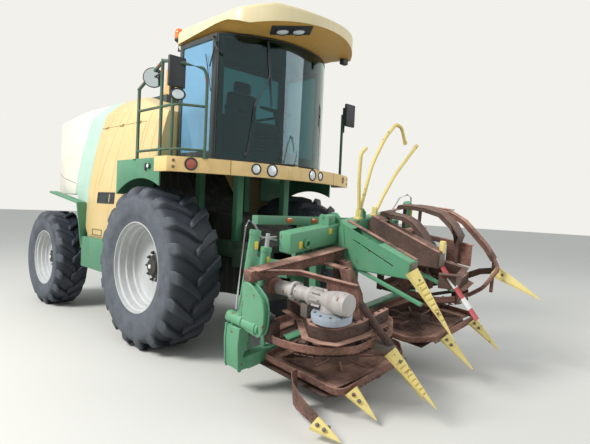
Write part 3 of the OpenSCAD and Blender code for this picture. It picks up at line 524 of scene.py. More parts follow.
roof_form = bmesh.new()
loops = []
for share in (0.06, 0.25, 0.45, 0.65, 0.8, 0.9, 0.96, 0.985, 1.0):
    ring = [(x * share, (y - roof_middle) * share + roof_middle) for x, y in plan]
    loops.append([roof_form.verts.new(mm(x, y, roof_soffit_height(x, y))) for x, y in ring])
for share, drop in ((1.0, 40), (0.992, 17), (0.98, 6), (0.955, 1), (0.9, 0), (0.8, 0), (0.65, 0),
                    (0.45, 0), (0.25, 0), (0.06, 0)):
    ring = [(x * share, (y - roof_middle) * share + roof_middle) for x, y in plan]
    loops.append([roof_form.verts.new(mm(x, y, roof_top_height(x, y) - drop)) for x, y in ring])
join_rows(roof_form, loops)
roof_form.faces.new(loops[0])
roof_form.faces.new(loops[-1])
roof = new_piece("roof_shell", roof_form, roof_gelcoat, stands_for=["cab_roof"], angle=50)
roof.data.materials.append(soffit_ochre)
for face in roof.data.polygons:
    if face.normal.z < -0.3:
        face.material_index = 1
recess_at = Matrix.Translation(mm(-372, -1312, roof_bottom + 24)) @ swing(-10.7, "X") @ swing(-34, "Z")
recess_form = bmesh.new()
roof_lens_form = bmesh.new()
add_block(recess_form, (-230, -92, -9), (230, 92, 20), recess_at, 8.0)
for x in (-100, 82):
    at = recess_at @ shift(x, 0, -6) @ swing(180, "X") @ Matrix.Scale(0.85, 4, (0, 1, 0))
    add_turned(recess_form, [(68, 0), (82, 0), (82, 16), (76, 24), (68, 16)], at, 32)
    add_turned(roof_lens_form, [(0, 0), (70, 0), (66, 16), (40, 26), (0, 30)], at, 32)
add_block(recess_form, (700, -1180, roof_bottom - 66), (800, -1110, roof_bottom + 20), ground, 14.0)
black_piece("roof_lamp_recess", recess_form)
new_piece("roof_lamp_lenses", roof_lens_form, clear_lens)

# Driver's seat
# Foam cushions in a dark woven cloth, on a black sprung pedestal with arm rests. All of it is
# measured up from the cab's floor.
seat_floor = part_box("seat")[0].z * 1000
seat_at = Matrix.Translation(mm(0, 0, seat_floor))
seat_cloth = new_material("dark_woven_seat_cloth", {"Roughness": 0.95, "Sheen Weight": 0.3})
cloth_tree = seat_cloth.node_tree
cloth_place = add(cloth_tree, "ShaderNodeTexCoord", {}).outputs["Object"]
warp, weft = [add(cloth_tree, "ShaderNodeTexWave",
                  {"Vector": cloth_place, "Scale": 260.0, "Distortion": 0.4, "Detail": 1.0},
                  bands_direction=along).outputs["Fac"] for along in ("X", "Z")]
threads = add(cloth_tree, "ShaderNodeMath", {0: warp, 1: weft}, operation="MULTIPLY")
wear = add(cloth_tree, "ShaderNodeTexNoise", {"Vector": cloth_place, "Scale": 5.0, "Detail": 4.0})
finish(seat_cloth, {
    "Base Color": add(cloth_tree, "ShaderNodeMix", {"Factor": wear, "A": "#23262B", "B": "#454A52"},
                      data_type="RGBA"),
    "Normal": add(cloth_tree, "ShaderNodeBump", {"Height": threads, "Strength": 0.3, "Distance": 0.0008})})


def cushion_form(low, high, crown_mm):
    """A stuffed pad between two corners in millimetres: rounded, crowned and seamed at its edge."""
    form = bmesh.new()
    add_block(form, low, high, seat_at, 34.0)
    bmesh.ops.subdivide_edges(form, edges=form.edges, cuts=3, use_grid_fill=True)
    middle = seat_at @ ((Vector(low) + Vector(high)) / 2000)
    half = (Vector(high) - Vector(low)) / 2000
    crown = crown_mm / 1000
    for vert in form.verts:
        out = vert.co - middle
        share = [out[i] / half[i] for i in range(3)]
        swell = max(0.0, 1 - share[0] ** 2)
        vert.co.z += crown * swell * (1 - share[1] ** 2) * max(0.0, share[2])
        vert.co.y -= crown * swell * (1 - share[2] ** 2) * max(0.0, -share[1]) * 0.6
    return form


for name, low, high, crown_mm, stands_for in (
        ("seat_cushion", (-255, -555, 345), (255, -70, 445), 16, ["seat"]),
        ("seat_back", (-240, -58, 430), (240, 22, 880), 22, ()),
        ("seat_head_rest", (-135, -50, 905), (135, 18, 1035), 12, ())):
    pad = new_piece(name, cushion_form(low, high, crown_mm), seat_cloth,
                    stands_for=stands_for, angle=60)
pedestal = bmesh.new()
add_block(pedestal, (-170, -420, 0), (170, -80, 60), seat_at, 12.0)
for k in range(6):
    fold = 4 * (k % 2)
    add_block(pedestal, (-150 + fold, -400, 62 + 42 * k), (150 - fold, -100, 98 + 42 * k), seat_at, 12.0)
add_block(pedestal, (-240, -500, 318), (240, -70, 344), seat_at, 8.0)
for x in (-300, 262):
    add_block(pedestal, (x, -380, 560), (x + 38, -30, 590), seat_at, 10.0)
for x in (-90, 70):
    add_block(pedestal, (x, -20, 880), (x + 20, 0, 910), seat_at, 4.0)
black_piece("seat_pedestal", pedestal)

# Side console
# Injection moulded black plastic over steel, bolted to the floor pan beside the seat, with three
# levers on the console.
dress("console", black_rubber, bevel_mm=8.0)
lever_form = bmesh.new()
for x, y in ((-430, -470), (-520, -360), (-430, -250)):
    add_turned(lever_form, [(0, 0), (9, 0), (7, 90), (17, 104), (19, 124), (12, 142), (0, 146)],
               seat_at @ shift(x, y, 480), 20)
black_piece("console_levers", lever_form)


# Wipers, seals and strap
# A pressed steel arm with a rubber blade, parked upright on the bowed screen, and the screen's
# rubber seals. A second wiper and a grab handle sit at the right side pane, a strap hangs inside.
def add_tube(form, points, radius_mm, at, sides=12):
    """Adds a round bar through some points in millimetres, closed at both ends."""
    part = bmesh.new()
    places = [Vector(p) / 1000 for p in points]
    rings = []
    for k, place in enumerate(places):
        ahead = places[min(k + 1, len(places) - 1)] - place
        behind = place - places[max(k - 1, 0)]
        along = (ahead.normalized() + behind.normalized()).normalized()
        ring = bmesh.ops.create_circle(part, segments=sides, radius=radius_mm / 1000,
                                       matrix=towards(place, along),
                                       cap_ends=k in (0, len(places) - 1))
        rings.append(ring["verts"])
    for one, other in zip(rings, rings[1:]):
        start = min(range(sides), key=lambda n: (other[n].co - one[0].co).length)
        join_rows(part, (one, other[start:] + other[:start]))
    bmesh.ops.recalc_face_normals(part, faces=part.faces)
    take_in(form, part, at)


def bent(points, steps=6):
    """A path of points with each inner corner drawn as a short curve."""
    made = [points[0]]
    for before, here, after in zip(points, points[1:], points[2:]):
        here = Vector(here)
        a, b = here.lerp(Vector(before), 0.22), here.lerp(Vector(after), 0.22)
        for k in range(steps + 1):
            t = k / steps
            made.append(tuple(a * (1 - t) ** 2 + here * 2 * t * (1 - t) + b * t ** 2))
    return made + [points[-1]]


def by_screen(x, up, out):
    """A place in mm in front of the bonded screen at a distance from the middle."""
    return screen_place(math.asin(x / (screen_radius + out)), up, out)


wiper_form = bmesh.new()
add_tube(wiper_form, [by_screen(-607, 2299, 22), by_screen(-600, 2420, 34), by_screen(-560, 2856, 40),
                      by_screen(-395, 3230, 36)], 10, ground)
blade_top, blade_foot = Vector(by_screen(-430, 3610, 24)), Vector(by_screen(-352, 2880, 24))
add_tube(wiper_form, [blade_foot, (blade_foot + blade_top) / 2, blade_top], 13, ground)
add_turned(wiper_form, [(0, 0), (30, 0), (30, 18), (20, 28), (0, 28)],
           towards(mm(*by_screen(-607, 2299, 11)), (-0.5, -0.86, 0)), 24)
seal_foot = screen_foot + 6
seal_top = screen_top - 4
for up in (seal_foot, seal_top):
    add_tube(wiper_form, [by_screen(-880 + 44 * k, up, 8) for k in range(41)], 9, ground)
for x in (-886, 886):
    add_tube(wiper_form, [by_screen(x, seal_foot, 8), by_screen(x, seal_top, 8)], 8, ground)
black_piece("screen_wiper", wiper_form)
strap_form = bmesh.new()
add_tube(strap_form, [by_screen(-416, 3578, -70), by_screen(-330, 3303, -70)], 13, ground)
new_piece("red_strap", strap_form, plain_material("red_strap_webbing", "#9E1F2E", 0.8))
side_wiper = bmesh.new()
add_tube(side_wiper, [(-916, -690, 3560), (-918, -640, 3480), (-918, -560, 3290)], 8, ground)
add_block(side_wiper, (-4, -5, -230), (4, 5, 230),
          Matrix.Translation(mm(-914, -530, 3230)) @ swing(-16, "X"), 2.0)
add_tube(side_wiper, bent([(-905, -610, 3620), (-948, -640, 3600), (-948, -740, 3440),
                           (-905, -770, 3420)]), 10, ground)
black_piece("side_window_wiper", side_wiper)

# Mirrors
# Blow moulded black shells on bent tube arms, clamped to the rails, with silvered glass behind.
dress("mirrors", black_rubber, bevel_mm=12.0, angle=40)
mirror_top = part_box("mirrors")[1].z * 1000
mirror_glass = finish(plain_material("silvered_mirror_glass", "#C8D2D6", 0.03), {"Metallic": 1.0})
mirror_form = bmesh.new()
for x, y in ((-1430, -688), (1430, -708)):
    add_block(mirror_form, (x - 84, y, mirror_top - 300), (x + 84, y + 5, mirror_top - 24), ground, 2.0)
new_piece("mirror_glasses", mirror_form, mirror_glass)

# Round mirror, work light and corner rail
# A round wide-angle mirror and an oval work light on brackets, and the rail of bent tube that
# goes round the deck's right front corner, bolted down on round feet.
add_on = bmesh.new()
round_at = towards(mm(-1410, -190, 3110), (-0.45, -0.85, 0.05))
add_turned(add_on, [(0, -30), (70, -24), (112, -6), (116, 6), (108, 10), (0, 10)], round_at, 36)
add_tube(add_on, [(-1410, -175, 3110), (-1402, -260, 3130), (-1400, -365, 3140)], 10, ground)
light_at = towards(mm(-1405, -706, 2862), (-0.35, -0.93, -0.05)) @ Matrix.Scale(1.3, 4, (1, 0, 0))
add_turned(add_on, [(0, -60), (40, -54), (62, -20), (64, 8), (54, 14), (50, 4), (0, 4)], light_at, 36)
add_tube(add_on, [(-1405, -660, 2862), (-1402, -620, 2870), (-1400, -600, 2900)], 10, ground)
black_piece("round_mirror_and_light", add_on)
round_glass = bmesh.new()
add_turned(round_glass, [(0, 10), (106, 10), (104, 13), (60, 19), (0, 22)], round_at, 36)
new_piece("round_mirror_glass", round_glass, mirror_glass)
light_lens = bmesh.new()
add_turned(light_lens, [(0, 4), (50, 4), (48, 12), (24, 17), (0, 18)], light_at, 36)
new_piece("work_light_lens", light_lens, clear_lens)
rail_form = bmesh.new()
deck_at = Matrix.Translation(mm(0, 0, 2202))
add_tube(rail_form, bent([(-1400, -590, 1022), (-1400, -730, 990), (-1130, -838, 960),
                          (-1130, -838, 0)]), 17, deck_at, 16)
for up in (560, 90):
    add_tube(rail_form, bent([(-1400, -590, up), (-1400, -700, up), (-1130, -836, up)]), 14, deck_at, 16)
for x, y in ((-1130, -838), (-1400, 146), (-1400, -365), (-1400, -600)):
    add_turned(rail_form, [(0, 0), (44, 0), (44, 8), (0, 8)], deck_at @ shift(x, y, 0), 24)
# The corner rail takes the green darkened with painted shade.
new_piece("corner_rail", rail_form, painted_shade_green)

# Beacon
# A ribbed orange plastic dome on a black turned base, on a bent tube behind the cab's corner.
beacon_low, beacon_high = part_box("beacon")
beacon_at = Matrix.Translation(((beacon_low.x + beacon_high.x) / 2, beacon_high.y - 0.055,
                                beacon_high.z))
beacon_orange = plain_material("orange_beacon_plastic", "#E0661B", 0.2, 0.6)
dome_form = bmesh.new()
ribs = [(52 + 1.5 * (k % 2), 8 * k - 128) for k in range(11)]
add_turned(dome_form, [(0, -128)] + ribs + [(46, -22), (30, -6), (12, -1), (0, -1)], beacon_at, 40)
new_piece("beacon_dome", dome_form, beacon_orange, stands_for=["beacon"])
base_form = bmesh.new()
add_turned(base_form, [(0, -168), (30, -168), (54, -150), (55, -130), (0, -130)], beacon_at, 40)
add_tube(base_form, [(0, 0, -165), (0, 0, -275), (0, -60, -285)], 14, beacon_at)
black_piece("beacon_base", base_form)

# Hood
# Moulded glass fibre skins on a steel frame: a cream front and two hinged side panels with
# pressed ribs, a pale green band, and a chalky white dome at the rear.
panel_cream = weathered_paint("panel_cream_gelcoat", "#C0A468", "#CFBA8A", 0.4, 0.12)
dome_cream = weathered_paint("chalky_dome_gelcoat", "#BFBBAB", "#D3D0C4", 0.5, 0.12)
band_green = weathered_paint("bleached_green_gelcoat", "#90B09E", "#B6CBBD", 0.5, 0.12)
hood_half = 1290
shoulder_up = 2120
skin_half = 1235
skin_middle_up = 1300
skin_radius = 5500


def hang_straight(place):
    """Below their shoulder the skins hang almost straight down, in a slight bow."""
    height = place.z * 1000
    rolled = math.sqrt(max(1.0, hood_half ** 2 - (shoulder_up - height) ** 2))
    straight = skin_half - skin_radius + math.sqrt(skin_radius ** 2 - (height - skin_middle_up) ** 2)
    if height < shoulder_up and rolled < straight:
        place.x = axle.x + (place.x - axle.x) * straight / rolled
    return place


dress("hood_top_panel", panel_cream, bevel_mm=6.0, reshape=hang_straight)
dress("hood_band", band_green, bevel_mm=5.0, reshape=hang_straight)
dress("rear_hood", dome_cream, bevel_mm=6.0, reshape=hang_straight)
for panel in ("side_panel_right", "side_panel_left"):
    dress(panel, panel_cream, panel, bevel_mm=5.0, reshape=hang_straight)


def node_surface(node):
    """A dressed node's surface, for laying small parts on it by a ray."""
    form = bmesh.new()
    form.from_mesh(bpy.data.objects[node + "_dressed"].data)
    tree = BVHTree.FromBMesh(form)
    form.free()
    return tree


def on_side(surface, y, z, side):
    """Where a ray from one side meets a surface at that y and height in mm, and the normal there."""
    place, normal, _, _ = surface.ray_cast(mm(side * 3000, y, z), Vector((-side, 0, 0)))
    if place is not None and normal.x * side < 0:
        normal = -normal
    return place, normal


def rib_on_side(form, surface, side, line, radius_mm=11, sunk_mm=4):
    """A half sunk round rib along a line of (y, z) points on a surface's side."""
    points = []
    for (y0, z0), (y1, z1) in zip(line, line[1:]):
        for step in range(8):
            share = step / 7
            place, normal = on_side(surface, y0 + (y1 - y0) * share, z0 + (z1 - z0) * share, side)
            if place is not None:
                points.append((place - normal * sunk_mm / 1000 - axle) * 1000)
    spread_out = [points[0]] + [q for p, q in zip(points, points[1:]) if (q - p).length > 4]
    add_tube(form, spread_out, radius_mm, ground, sides=10)


def add_border(form, half_long, inner, outer, thick, low, high, at, round_mm):
    """Adds four bars round a field: two along it and two that close its ends."""
    end = outer - 2
    for lower, upper in (((-half_long, inner), (half_long, outer)),
                         ((-half_long, -outer), (half_long, -inner)),
                         ((-half_long - 2, -end), (-half_long - 2 + thick, end)),
                         ((half_long + 2 - thick, -end), (half_long + 2, end))):
        add_block(form, (*lower, low), (*upper, high), at, round_mm)


rib_lines = (((1750, 1430), (1740, 1930), (1700, 2730)), ((1650, 1900), (1420, 2730)),
             ((1250, 1420), (1240, 1900), (1195, 2730)))
for side, name in ((-1, "right"), (1, "left")):
    panel = "side_panel_" + name
    surface = node_surface(panel)
    ribs_form = bmesh.new()
    for line in rib_lines:
        rib_on_side(ribs_form, surface, side, line)
    new_piece("side_panel_ribs_" + name, ribs_form, panel_cream, panel)
    # The black pull handle, a moulded tray with a thick rim, and the latch under it
    at = towards(*on_side(surface, 1350, 1740, side))
    tray = bmesh.new()
    add_block(tray, (-235, -66, -10), (235, 66, 3), at, 6.0)
    add_border(tray, 260, 52, 78, 30, -8, 9, at, 8.0)
    black_piece("panel_handle_" + name, tray, panel)
    latch = bmesh.new()
    add_border(latch, 150, 34, 44, 12, -4, 6, towards(*on_side(surface, 1560, 1250, side)), 2.0)
    new_piece("panel_latch_" + name, latch, bolt_steel, panel)

top_surface = node_surface("hood_top_panel")
dome_surface = node_surface("rear_hood")
top_ribs = bmesh.new()
seams = bmesh.new()
sill_form = bmesh.new()
for side in (-1, 1):
    for line in (((1695, 2790), (1660, 3020)), ((1405, 2790), (1340, 3020)),
                 ((1190, 2790), (1150, 3000)), ((900, 2350), (870, 2900)),
                 ((560, 2320), (540, 2860)), ((330, 2300), (315, 2800))):
        rib_on_side(top_ribs, top_surface, side, line)
    rib_on_side(seams, dome_surface, side, [(2450 + 50 * k, 1945 + 8 * k) for k in range(28)], 5, 3)
    add_block(sill_form, (side * 1240 - 6, 1190, 1130), (side * 1240 + 4, 1840, 1166), ground, 3.0)
new_piece("hood_top_ribs", top_ribs, panel_cream)
new_piece("dome_seams", seams, engine_iron)
sill_steel = weathered_paint("bare_aluminium_sill", "#A9ABA6", "#C9C8C0", 0.4, 0.3)
new_piece("hood_sills", sill_form, sill_steel)

# Rear screen
# Pressed steel louvres in a frame, painted black and hinged at its right edge, with thin upright
# wires between them.
dress("rear_grille", cab_black, "rear_grille", bevel_mm=2.0)
grille_low, grille_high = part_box("rear_grille")
grille_at = Matrix.Translation((grille_low + grille_high) / 2)
grille_half_wide = (grille_high.x - grille_low.x) * 500 - 60
grille_half_tall = (grille_high.z - grille_low.z) * 500 - 40
mesh_form = bmesh.new()
for k in range(26):
    x = grille_half_wide * (2 * k / 25 - 1)
    add_tube(mesh_form, [(x, 0, -grille_half_tall), (x, 0, grille_half_tall)], 3, grille_at, sides=6)
new_piece("grille_wires", mesh_form, cab_black, "rear_grille")


# Spout
# Welded sheet channel: an ochre turret elbow, a cream arm on its pins, and a hinged end flap.
def slim_pin(point, direction, radius_mm):
    """A reshape that takes a faceted pin down by a fortieth, so that it turns freely in its bore."""
    direction = direction.normalized()

    def slimmed(place):
        foot = point + direction * (place - point).dot(direction)
        out = place - foot
        return foot + out * 0.975 if out.length * 1000 < radius_mm else place

    return slimmed


spout_ochre = weathered_paint("spout_ochre_enamel", "#B98A3C", "#C9A35E", 0.5, 0.3, 0.3)
dress("spout_elbow", spout_ochre, "spout_turret", bevel_mm=4.0)
arm_pin = Vector((0.679, 0.679, 3.781))
arm_pin_along = Vector((1, -1, 0))
dress("spout_arm", panel_cream, "spout", bevel_mm=2.0,
      reshape=slim_pin(arm_pin, arm_pin_along, 22))
dress("spout_flap", panel_cream, "spout_flap", bevel_mm=2.0)

# Tyres
# Radial drive tyres of black rubber, vulcanised in a mould that leaves tall bent lugs in a
# chevron, which point down in front. The side walls are ground dull and filmed with dry dust.
lug_stations = 9
lug_pitch_share = 0.75
lug_widest = 0.118
lug_taper = 0.040
lug_sunk = 0.022
shoulder_drop = 0.095
shoulder_share = 0.24
bead_inset = 0.045
bead_angle = 62
wall_steps = 26
squareness = 0.58
dust_below_tread = 0.085
tyre_slack = 0.0012


def lug_form(radius, width, lug_height, pitch):
    """One lug from the outer shoulder to just past the middle, its corners rounded."""
    form = bmesh.new()
    bmesh.ops.create_cube(form, size=1.0)
    long_edges = [e for e in form.edges if abs(e.verts[0].co.x - e.verts[1].co.x) > 0.5]
    bmesh.ops.subdivide_edges(form, edges=long_edges, cuts=lug_stations - 1, use_grid_fill=True)
    bevel(form, [e for e in form.edges
                 if e.calc_face_angle() > 1.0 and max(v.co.z for v in e.verts) > 0], 120)
    for vert in form.verts:
        u = vert.co.x + 0.5
        below_top = 0.5 - vert.co.z
        lug_width = (lug_widest - lug_taper * u) * (1.0 + 0.35 * below_top)
        droop = shoulder_drop * max(0.0, 1 - u / shoulder_share) ** 1.8
        turn = pitch * lug_pitch_share * u ** 1.35
        side = vert.co.y * lug_width
        rho = radius - droop - (lug_height + lug_sunk) * below_top
        vert.co = Vector((0.010 + u * (width / 2 + 0.018),
                          rho * math.sin(turn) + side * math.cos(turn),
                          -rho * math.cos(turn) + side * math.sin(turn)))
    return form


def squared(value):
    """A sine or cosine drawn out so that a circle becomes a rounded square."""
    return math.copysign(abs(value) ** squareness, value)


def tyre_form(radius, width, seat, lug_height, lugs):
    """A whole tyre turned round X, its inner wall at zero, with its dust as an attribute."""
    form = bmesh.new()
    half = width / 2
    crown = radius - lug_height
    middle = (seat + crown) / 2
    rise = (crown - seat) / 2
    ring = [form.verts.new((bead_inset, 0.0, -seat))]
    for k in range(wall_steps + 1):
        angle = math.radians(bead_angle + (360 - 2 * bead_angle) * k / wall_steps)
        ring.append(form.verts.new((half - half * squared(math.sin(angle)), 0.0,
                                    -(middle - rise * squared(math.cos(angle))))))
    ring.append(form.verts.new((width - bead_inset, 0.0, -seat)))
    edges = [form.edges.new((ring[k], ring[(k + 1) % len(ring)])) for k in range(len(ring))]
    bmesh.ops.spin(form, geom=ring + edges, cent=(0, 0, 0), axis=(1, 0, 0), angle=math.tau, steps=108,
                   use_merge=True)
    bmesh.ops.remove_doubles(form, verts=form.verts, dist=1e-5)
    dust = form.verts.layers.float.new("dust")
    for vert in form.verts:
        rho = math.hypot(vert.co.y, vert.co.z)
        vert[dust] = between((radius - dust_below_tread - rho) / 0.05)
    pitch = math.tau / lugs
    lug = lug_form(radius, width, lug_height, pitch)
    lug_dust = lug.verts.layers.float.new("dust")
    for vert in lug.verts:
        vert[lug_dust] = between((0.10 - vert.co.x) / 0.08, 0.0, 0.75)
    lug_mesh = bpy.data.meshes.new("lug")
    lug.to_mesh(lug_mesh)
    lug.free()
    for count in range(2 * lugs):
        first = len(form.verts)
        form.from_mesh(lug_mesh)
        form.verts.ensure_lookup_table()
        fresh = form.verts[first:]
        if count % 2:
            for vert in fresh:
                vert.co.x = width - vert.co.x
        bmesh.ops.rotate(form, verts=fresh, cent=(0, 0, 0),
                         matrix=Matrix.Rotation(pitch * count / 2, 3, "X"))
    bpy.data.meshes.remove(lug_mesh)
    return form


# Rubber that has greyed: near black and slightly glossy on the tread, and on the side walls and
# lug ends a matt film of grey dust that thins out towards the tread
tyre_rubber = new_material("dusty_moulded_rubber", {})
tyre_tree = tyre_rubber.node_tree
tyre_place = add(tyre_tree, "ShaderNodeTexCoord", {}).outputs["Object"]
tyre_dust = add(tyre_tree, "ShaderNodeAttribute", {}, attribute_name="dust").outputs["Fac"]
tyre_patches = add(tyre_tree, "ShaderNodeTexNoise",
                   {"Vector": tyre_place, "Scale": 7.0, "Detail": 7.0, "Roughness": 0.65})
tyre_film = add(tyre_tree, "ShaderNodeMath", {0: tyre_dust, 1: tyre_patches}, operation="MULTIPLY")
tyre_level = add(tyre_tree, "ShaderNodeMapRange",
                 {"Value": tyre_film, "From Min": 0.05, "From Max": 0.62, "To Min": 0.06})
tyre_grain = add(tyre_tree, "ShaderNodeTexNoise", {"Vector": tyre_place, "Scale": 160.0, "Detail": 4.0})
finish(tyre_rubber, {
    "Base Color": add(tyre_tree, "ShaderNodeMix", {"Factor": tyre_level, "A": "#20262F", "B": "#585D63"},
                      data_type="RGBA"),
    "Roughness": add(tyre_tree, "ShaderNodeMapRange", {"Value": tyre_level, "To Min": 0.55, "To Max": 0.92}),
    "Normal": add(tyre_tree, "ShaderNodeBump",
                  {"Height": tyre_grain, "Strength": 0.2, "Distance": 0.002})})

for axle_name, lug_height, lugs, seat in (("front", 0.048, 18, 0.5323), ("rear", 0.038, 17, 0.4303)):
    for side in ("right", "left"):
        wheel = f"{axle_name}_{side}"
        low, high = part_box("tyre_" + wheel)
        hub = (low + high) / 2
        radius = (high.z - low.z) / 2 - tyre_slack
        tyre = tyre_form(radius, high.x - low.x, seat, lug_height, lugs)
        for vert in tyre.verts:
            x = high.x - vert.co.x if side == "right" else low.x + vert.co.x
            vert.co = Vector((x, hub.y + vert.co.y, hub.z + vert.co.z))
        new_piece("drive_tyre_" + wheel, tyre, tyre_rubber, "wheel_" + wheel,
                  ["tyre_" + wheel], 40)


# Rims
# Rolled steel wells with three steps down to a welded disc, enamelled silver grey and dusty.
# Ten studs hold each disc to a black hub with a pale cap.
def rim_profile(r, disc):
    """Closed (radius, height) outline of the rim's outer half and disc, height from its outer lip."""
    steps = [(r, -6), (r - 4, 0), (r - 13, -3), (r - 17, -0.17 * disc)]
    for k in (1, 2, 3):
        depth = disc * (0.10 - 0.30 * k)
        reach = r + 6 - 23 * k
        steps += [(reach - 2, depth + 0.05 * disc), (reach - 23, depth),
                  (reach - 25, depth - 0.16 * disc)]
    lip = steps[-1][0]
    front = steps + [(lip - 4, -disc + 6), (lip - 20, -disc), (0.58 * r, -disc),
                     (0.47 * r, -disc + 14), (0, -disc + 14)]
    back = [(0, -disc), (0.46 * r, -disc), (0.57 * r, -disc - 16), (lip - 6, -disc - 16),
            (lip + 14, -disc - 4), (r - 60, -disc * 0.6), (r - 32, -disc * 0.34), (r - 5, -disc * 0.17)]
    return front + back


def places_round(at, count, radius, up):
    """Matrices evenly spaced round local Z at a radius and a height in millimetres."""
    return [at @ swing(360 * k / count, "Z") @ shift(radius, 0, up) for k in range(count)]


rim_grey = weathered_paint("dusty_grey_rim_enamel", "#A3A5A4", "#C2C4C3", 0.42, 0.35)
hub_black = weathered_paint("black_hub_casting", "#1B1D1E", "#34332F", 0.5, 0.3)
hub_cap = plain_material("pale_hub_cap", "#D9D6CC", 0.3)
for axle_name, disc_share, hub_r, stud_r in (("front", 0.50, 140, 168), ("rear", 0.46, 108, 132)):
    for side, out in (("right", -1), ("left", 1)):
        wheel = f"{axle_name}_{side}"
        body = "wheel_" + wheel
        low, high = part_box("rim_" + wheel)
        r = (high.z - low.z) * 500
        width = (high.x - low.x) * 1000
        disc = width * disc_share
        middle = (low + high) / 2
        at = towards((low.x if out < 0 else high.x, middle.y, middle.z), (out, 0, 0))
        rim_form = bmesh.new()
        add_turned(rim_form, rim_profile(r, disc), at, 96)
        add_turned(rim_form, [(r - 90, -disc - 10), (r - 94, -width + 50), (r - 12, -width + 4),
                              (r - 2, -width), (r, -width + 6), (r - 4, -width + 22),
                              (r - 80, -width + 62), (r - 78, -disc + 4)], at, 96)
        new_piece("stepped_rim_" + wheel, rim_form, rim_grey, body, ["rim_" + wheel], 40)
        face = at @ shift(0, 0, 14 - disc)
        hub_form = bmesh.new()
        add_turned(hub_form, [(0, -4), (hub_r, -4), (hub_r, 16), (hub_r - 10, 24), (hub_r * 0.72, 26),
                              (hub_r * 0.66, 62), (hub_r * 0.4, 74), (0, 74)], face, 48)
        for stud in places_round(face, 10, stud_r, -2):
            add_turned(hub_form, [(0, 0), (24, 0), (24, 5), (0, 5)], stud, 18)
            add_turned(hub_form, [(0, 5), (19, 5), (19, 26), (15, 30), (0, 30)], stud, 6)
            add_turned(hub_form, [(0, 30), (10, 30), (10, 40), (7, 43), (0, 43)], stud, 12)
        for head in places_round(face, 8, hub_r * 0.84, 24):
            add_turned(hub_form, [(0, 0), (10, 0), (10, 9), (0, 10)], head, 6)
        new_piece("hub_" + wheel, hub_form, hub_black, body)
        cap_form = bmesh.new()
        add_turned(cap_form, [(0, 73), (26, 73), (25, 84), (16, 90), (0, 91)], face, 24)
        new_piece("hub_cap_" + wheel, cap_form, hub_cap, body)

# Lift frame
# A welded plate frame with the crop opening, hung on the lift arms, and a cross beam above it
# that carries three amber reflectors.
dress("lift_frame", machine_green, "lift",
      reshape=slim_pin(mm(0, -1130, 1060), Vector((1, 0, 0)), 32))
beam_front = (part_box("lift_frame")[0].y - axle.y) * 1000
reflector_form = bmesh.new()
for x in (-560, -180, 560):
    add_block(reflector_form, (x - 42, beam_front - 8, 1562), (x + 42, beam_front + 4, 1612), ground,
              6.0)
new_piece("beam_reflectors", reflector_form, amber_lens, "lift")

# Header frame
# Welded box sections and plate: a lower beam, two side columns with the barrels that the wings
# fold on, towers and a top beam, in a brighter green enamel that has chipped and scraped.
header_green = weathered_paint("header_green_enamel", "#3C7A55", "#6CA884", 0.42, 0.22, 0.34)
swing_at = Matrix.Translation(mm(0, -1800, 1250)) @ swing(-8, "Y")
header_at = swing_at @ shift(0, 0, -370) @ swing(6, "X")
mirrored = header_at @ Matrix.Scale(-1, 4, (1, 0, 0))
wing_at = {"right": mirrored, "left": header_at}
header_halves = (mirrored, header_at)
fold_x = 1430
# An outline drawn as (y, z) with its thickness across, and one drawn as (x, z) that faces forwards
side_on = Matrix(((0, 0, 1, 0), (1, 0, 0, 0), (0, 1, 0, 0), (0, 0, 0, 1)))
front_on = Matrix(((1, 0, 0, 0), (0, 0, 1, 0), (0, 1, 0, 0), (0, 0, 0, 1)))


def add_plate(form, outline, low, high, at, holes=(), round_mm=2.5):
    """Adds a plate cut to an outline in millimetres, with holes, between two heights."""
    part = bmesh.new()
    edges = []
    for loop in (outline, *holes):
        ring = [part.verts.new((x / 1000, y / 1000, low / 1000)) for x, y in loop]
        edges += [part.edges.new((ring[k - 1], ring[k])) for k in range(len(ring))]
    bmesh.ops.triangle_fill(part, use_beauty=True, use_dissolve=True, edges=edges)
    raised = bmesh.ops.extrude_face_region(part, geom=part.faces[:])["geom"]
    bmesh.ops.translate(part, vec=(0, 0, (high - low) / 1000),
                        verts=[v for v in raised if isinstance(v, bmesh.types.BMVert)])
    bmesh.ops.recalc_face_normals(part, faces=part.faces)
    if round_mm > 0:
        sharp = [e for e in part.edges if len(e.link_faces) == 2 and e.calc_face_angle() > 0.5]
        bevel(part, sharp, min(round_mm, abs(high - low) / 3), 1)
    take_in(form, part, at)


def leftward(before, here, after):
    """How a path's corner goes for each millimetre to the left; an end lacks one neighbour."""
    ways = [(Vector(b) - Vector(a)).normalized() for a, b in ((before, here), (here, after)) if a and b]
    left = Vector((-ways[0].y, ways[0].x))
    normal = (left + Vector((-ways[-1].y, ways[-1].x))).normalized()
    return normal / max(0.35, normal.dot(left))


def moved_loop(loop, inwards):
    """A closed loop of points moved inwards by a distance, its corners kept sharp."""
    befores, afters = loop[-1:] + loop[:-1], loop[1:] + loop[:1]
    area = sum(a[0] * b[1] - b[0] * a[1] for a, b in zip(loop, afters))
    away = math.copysign(inwards, area)
    return [tuple(Vector(here) + leftward(before, here, after) * away)
            for before, here, after in zip(befores, loop, afters)]


def add_barrel(form, x, z, y0, y1, outer, inner, at):
    """Adds a tube along the header's Y, bored through, with a small chamfer at its ends."""
    long = y1 - y0
    add_turned(form, [(inner, 2), (inner + 2, 0), (outer - 3, 0), (outer, 3), (outer, long - 3),
                      (outer - 3, long), (inner + 2, long), (inner, long - 2)],
               at @ shift(x, y0, z) @ swing(-90, "X"))


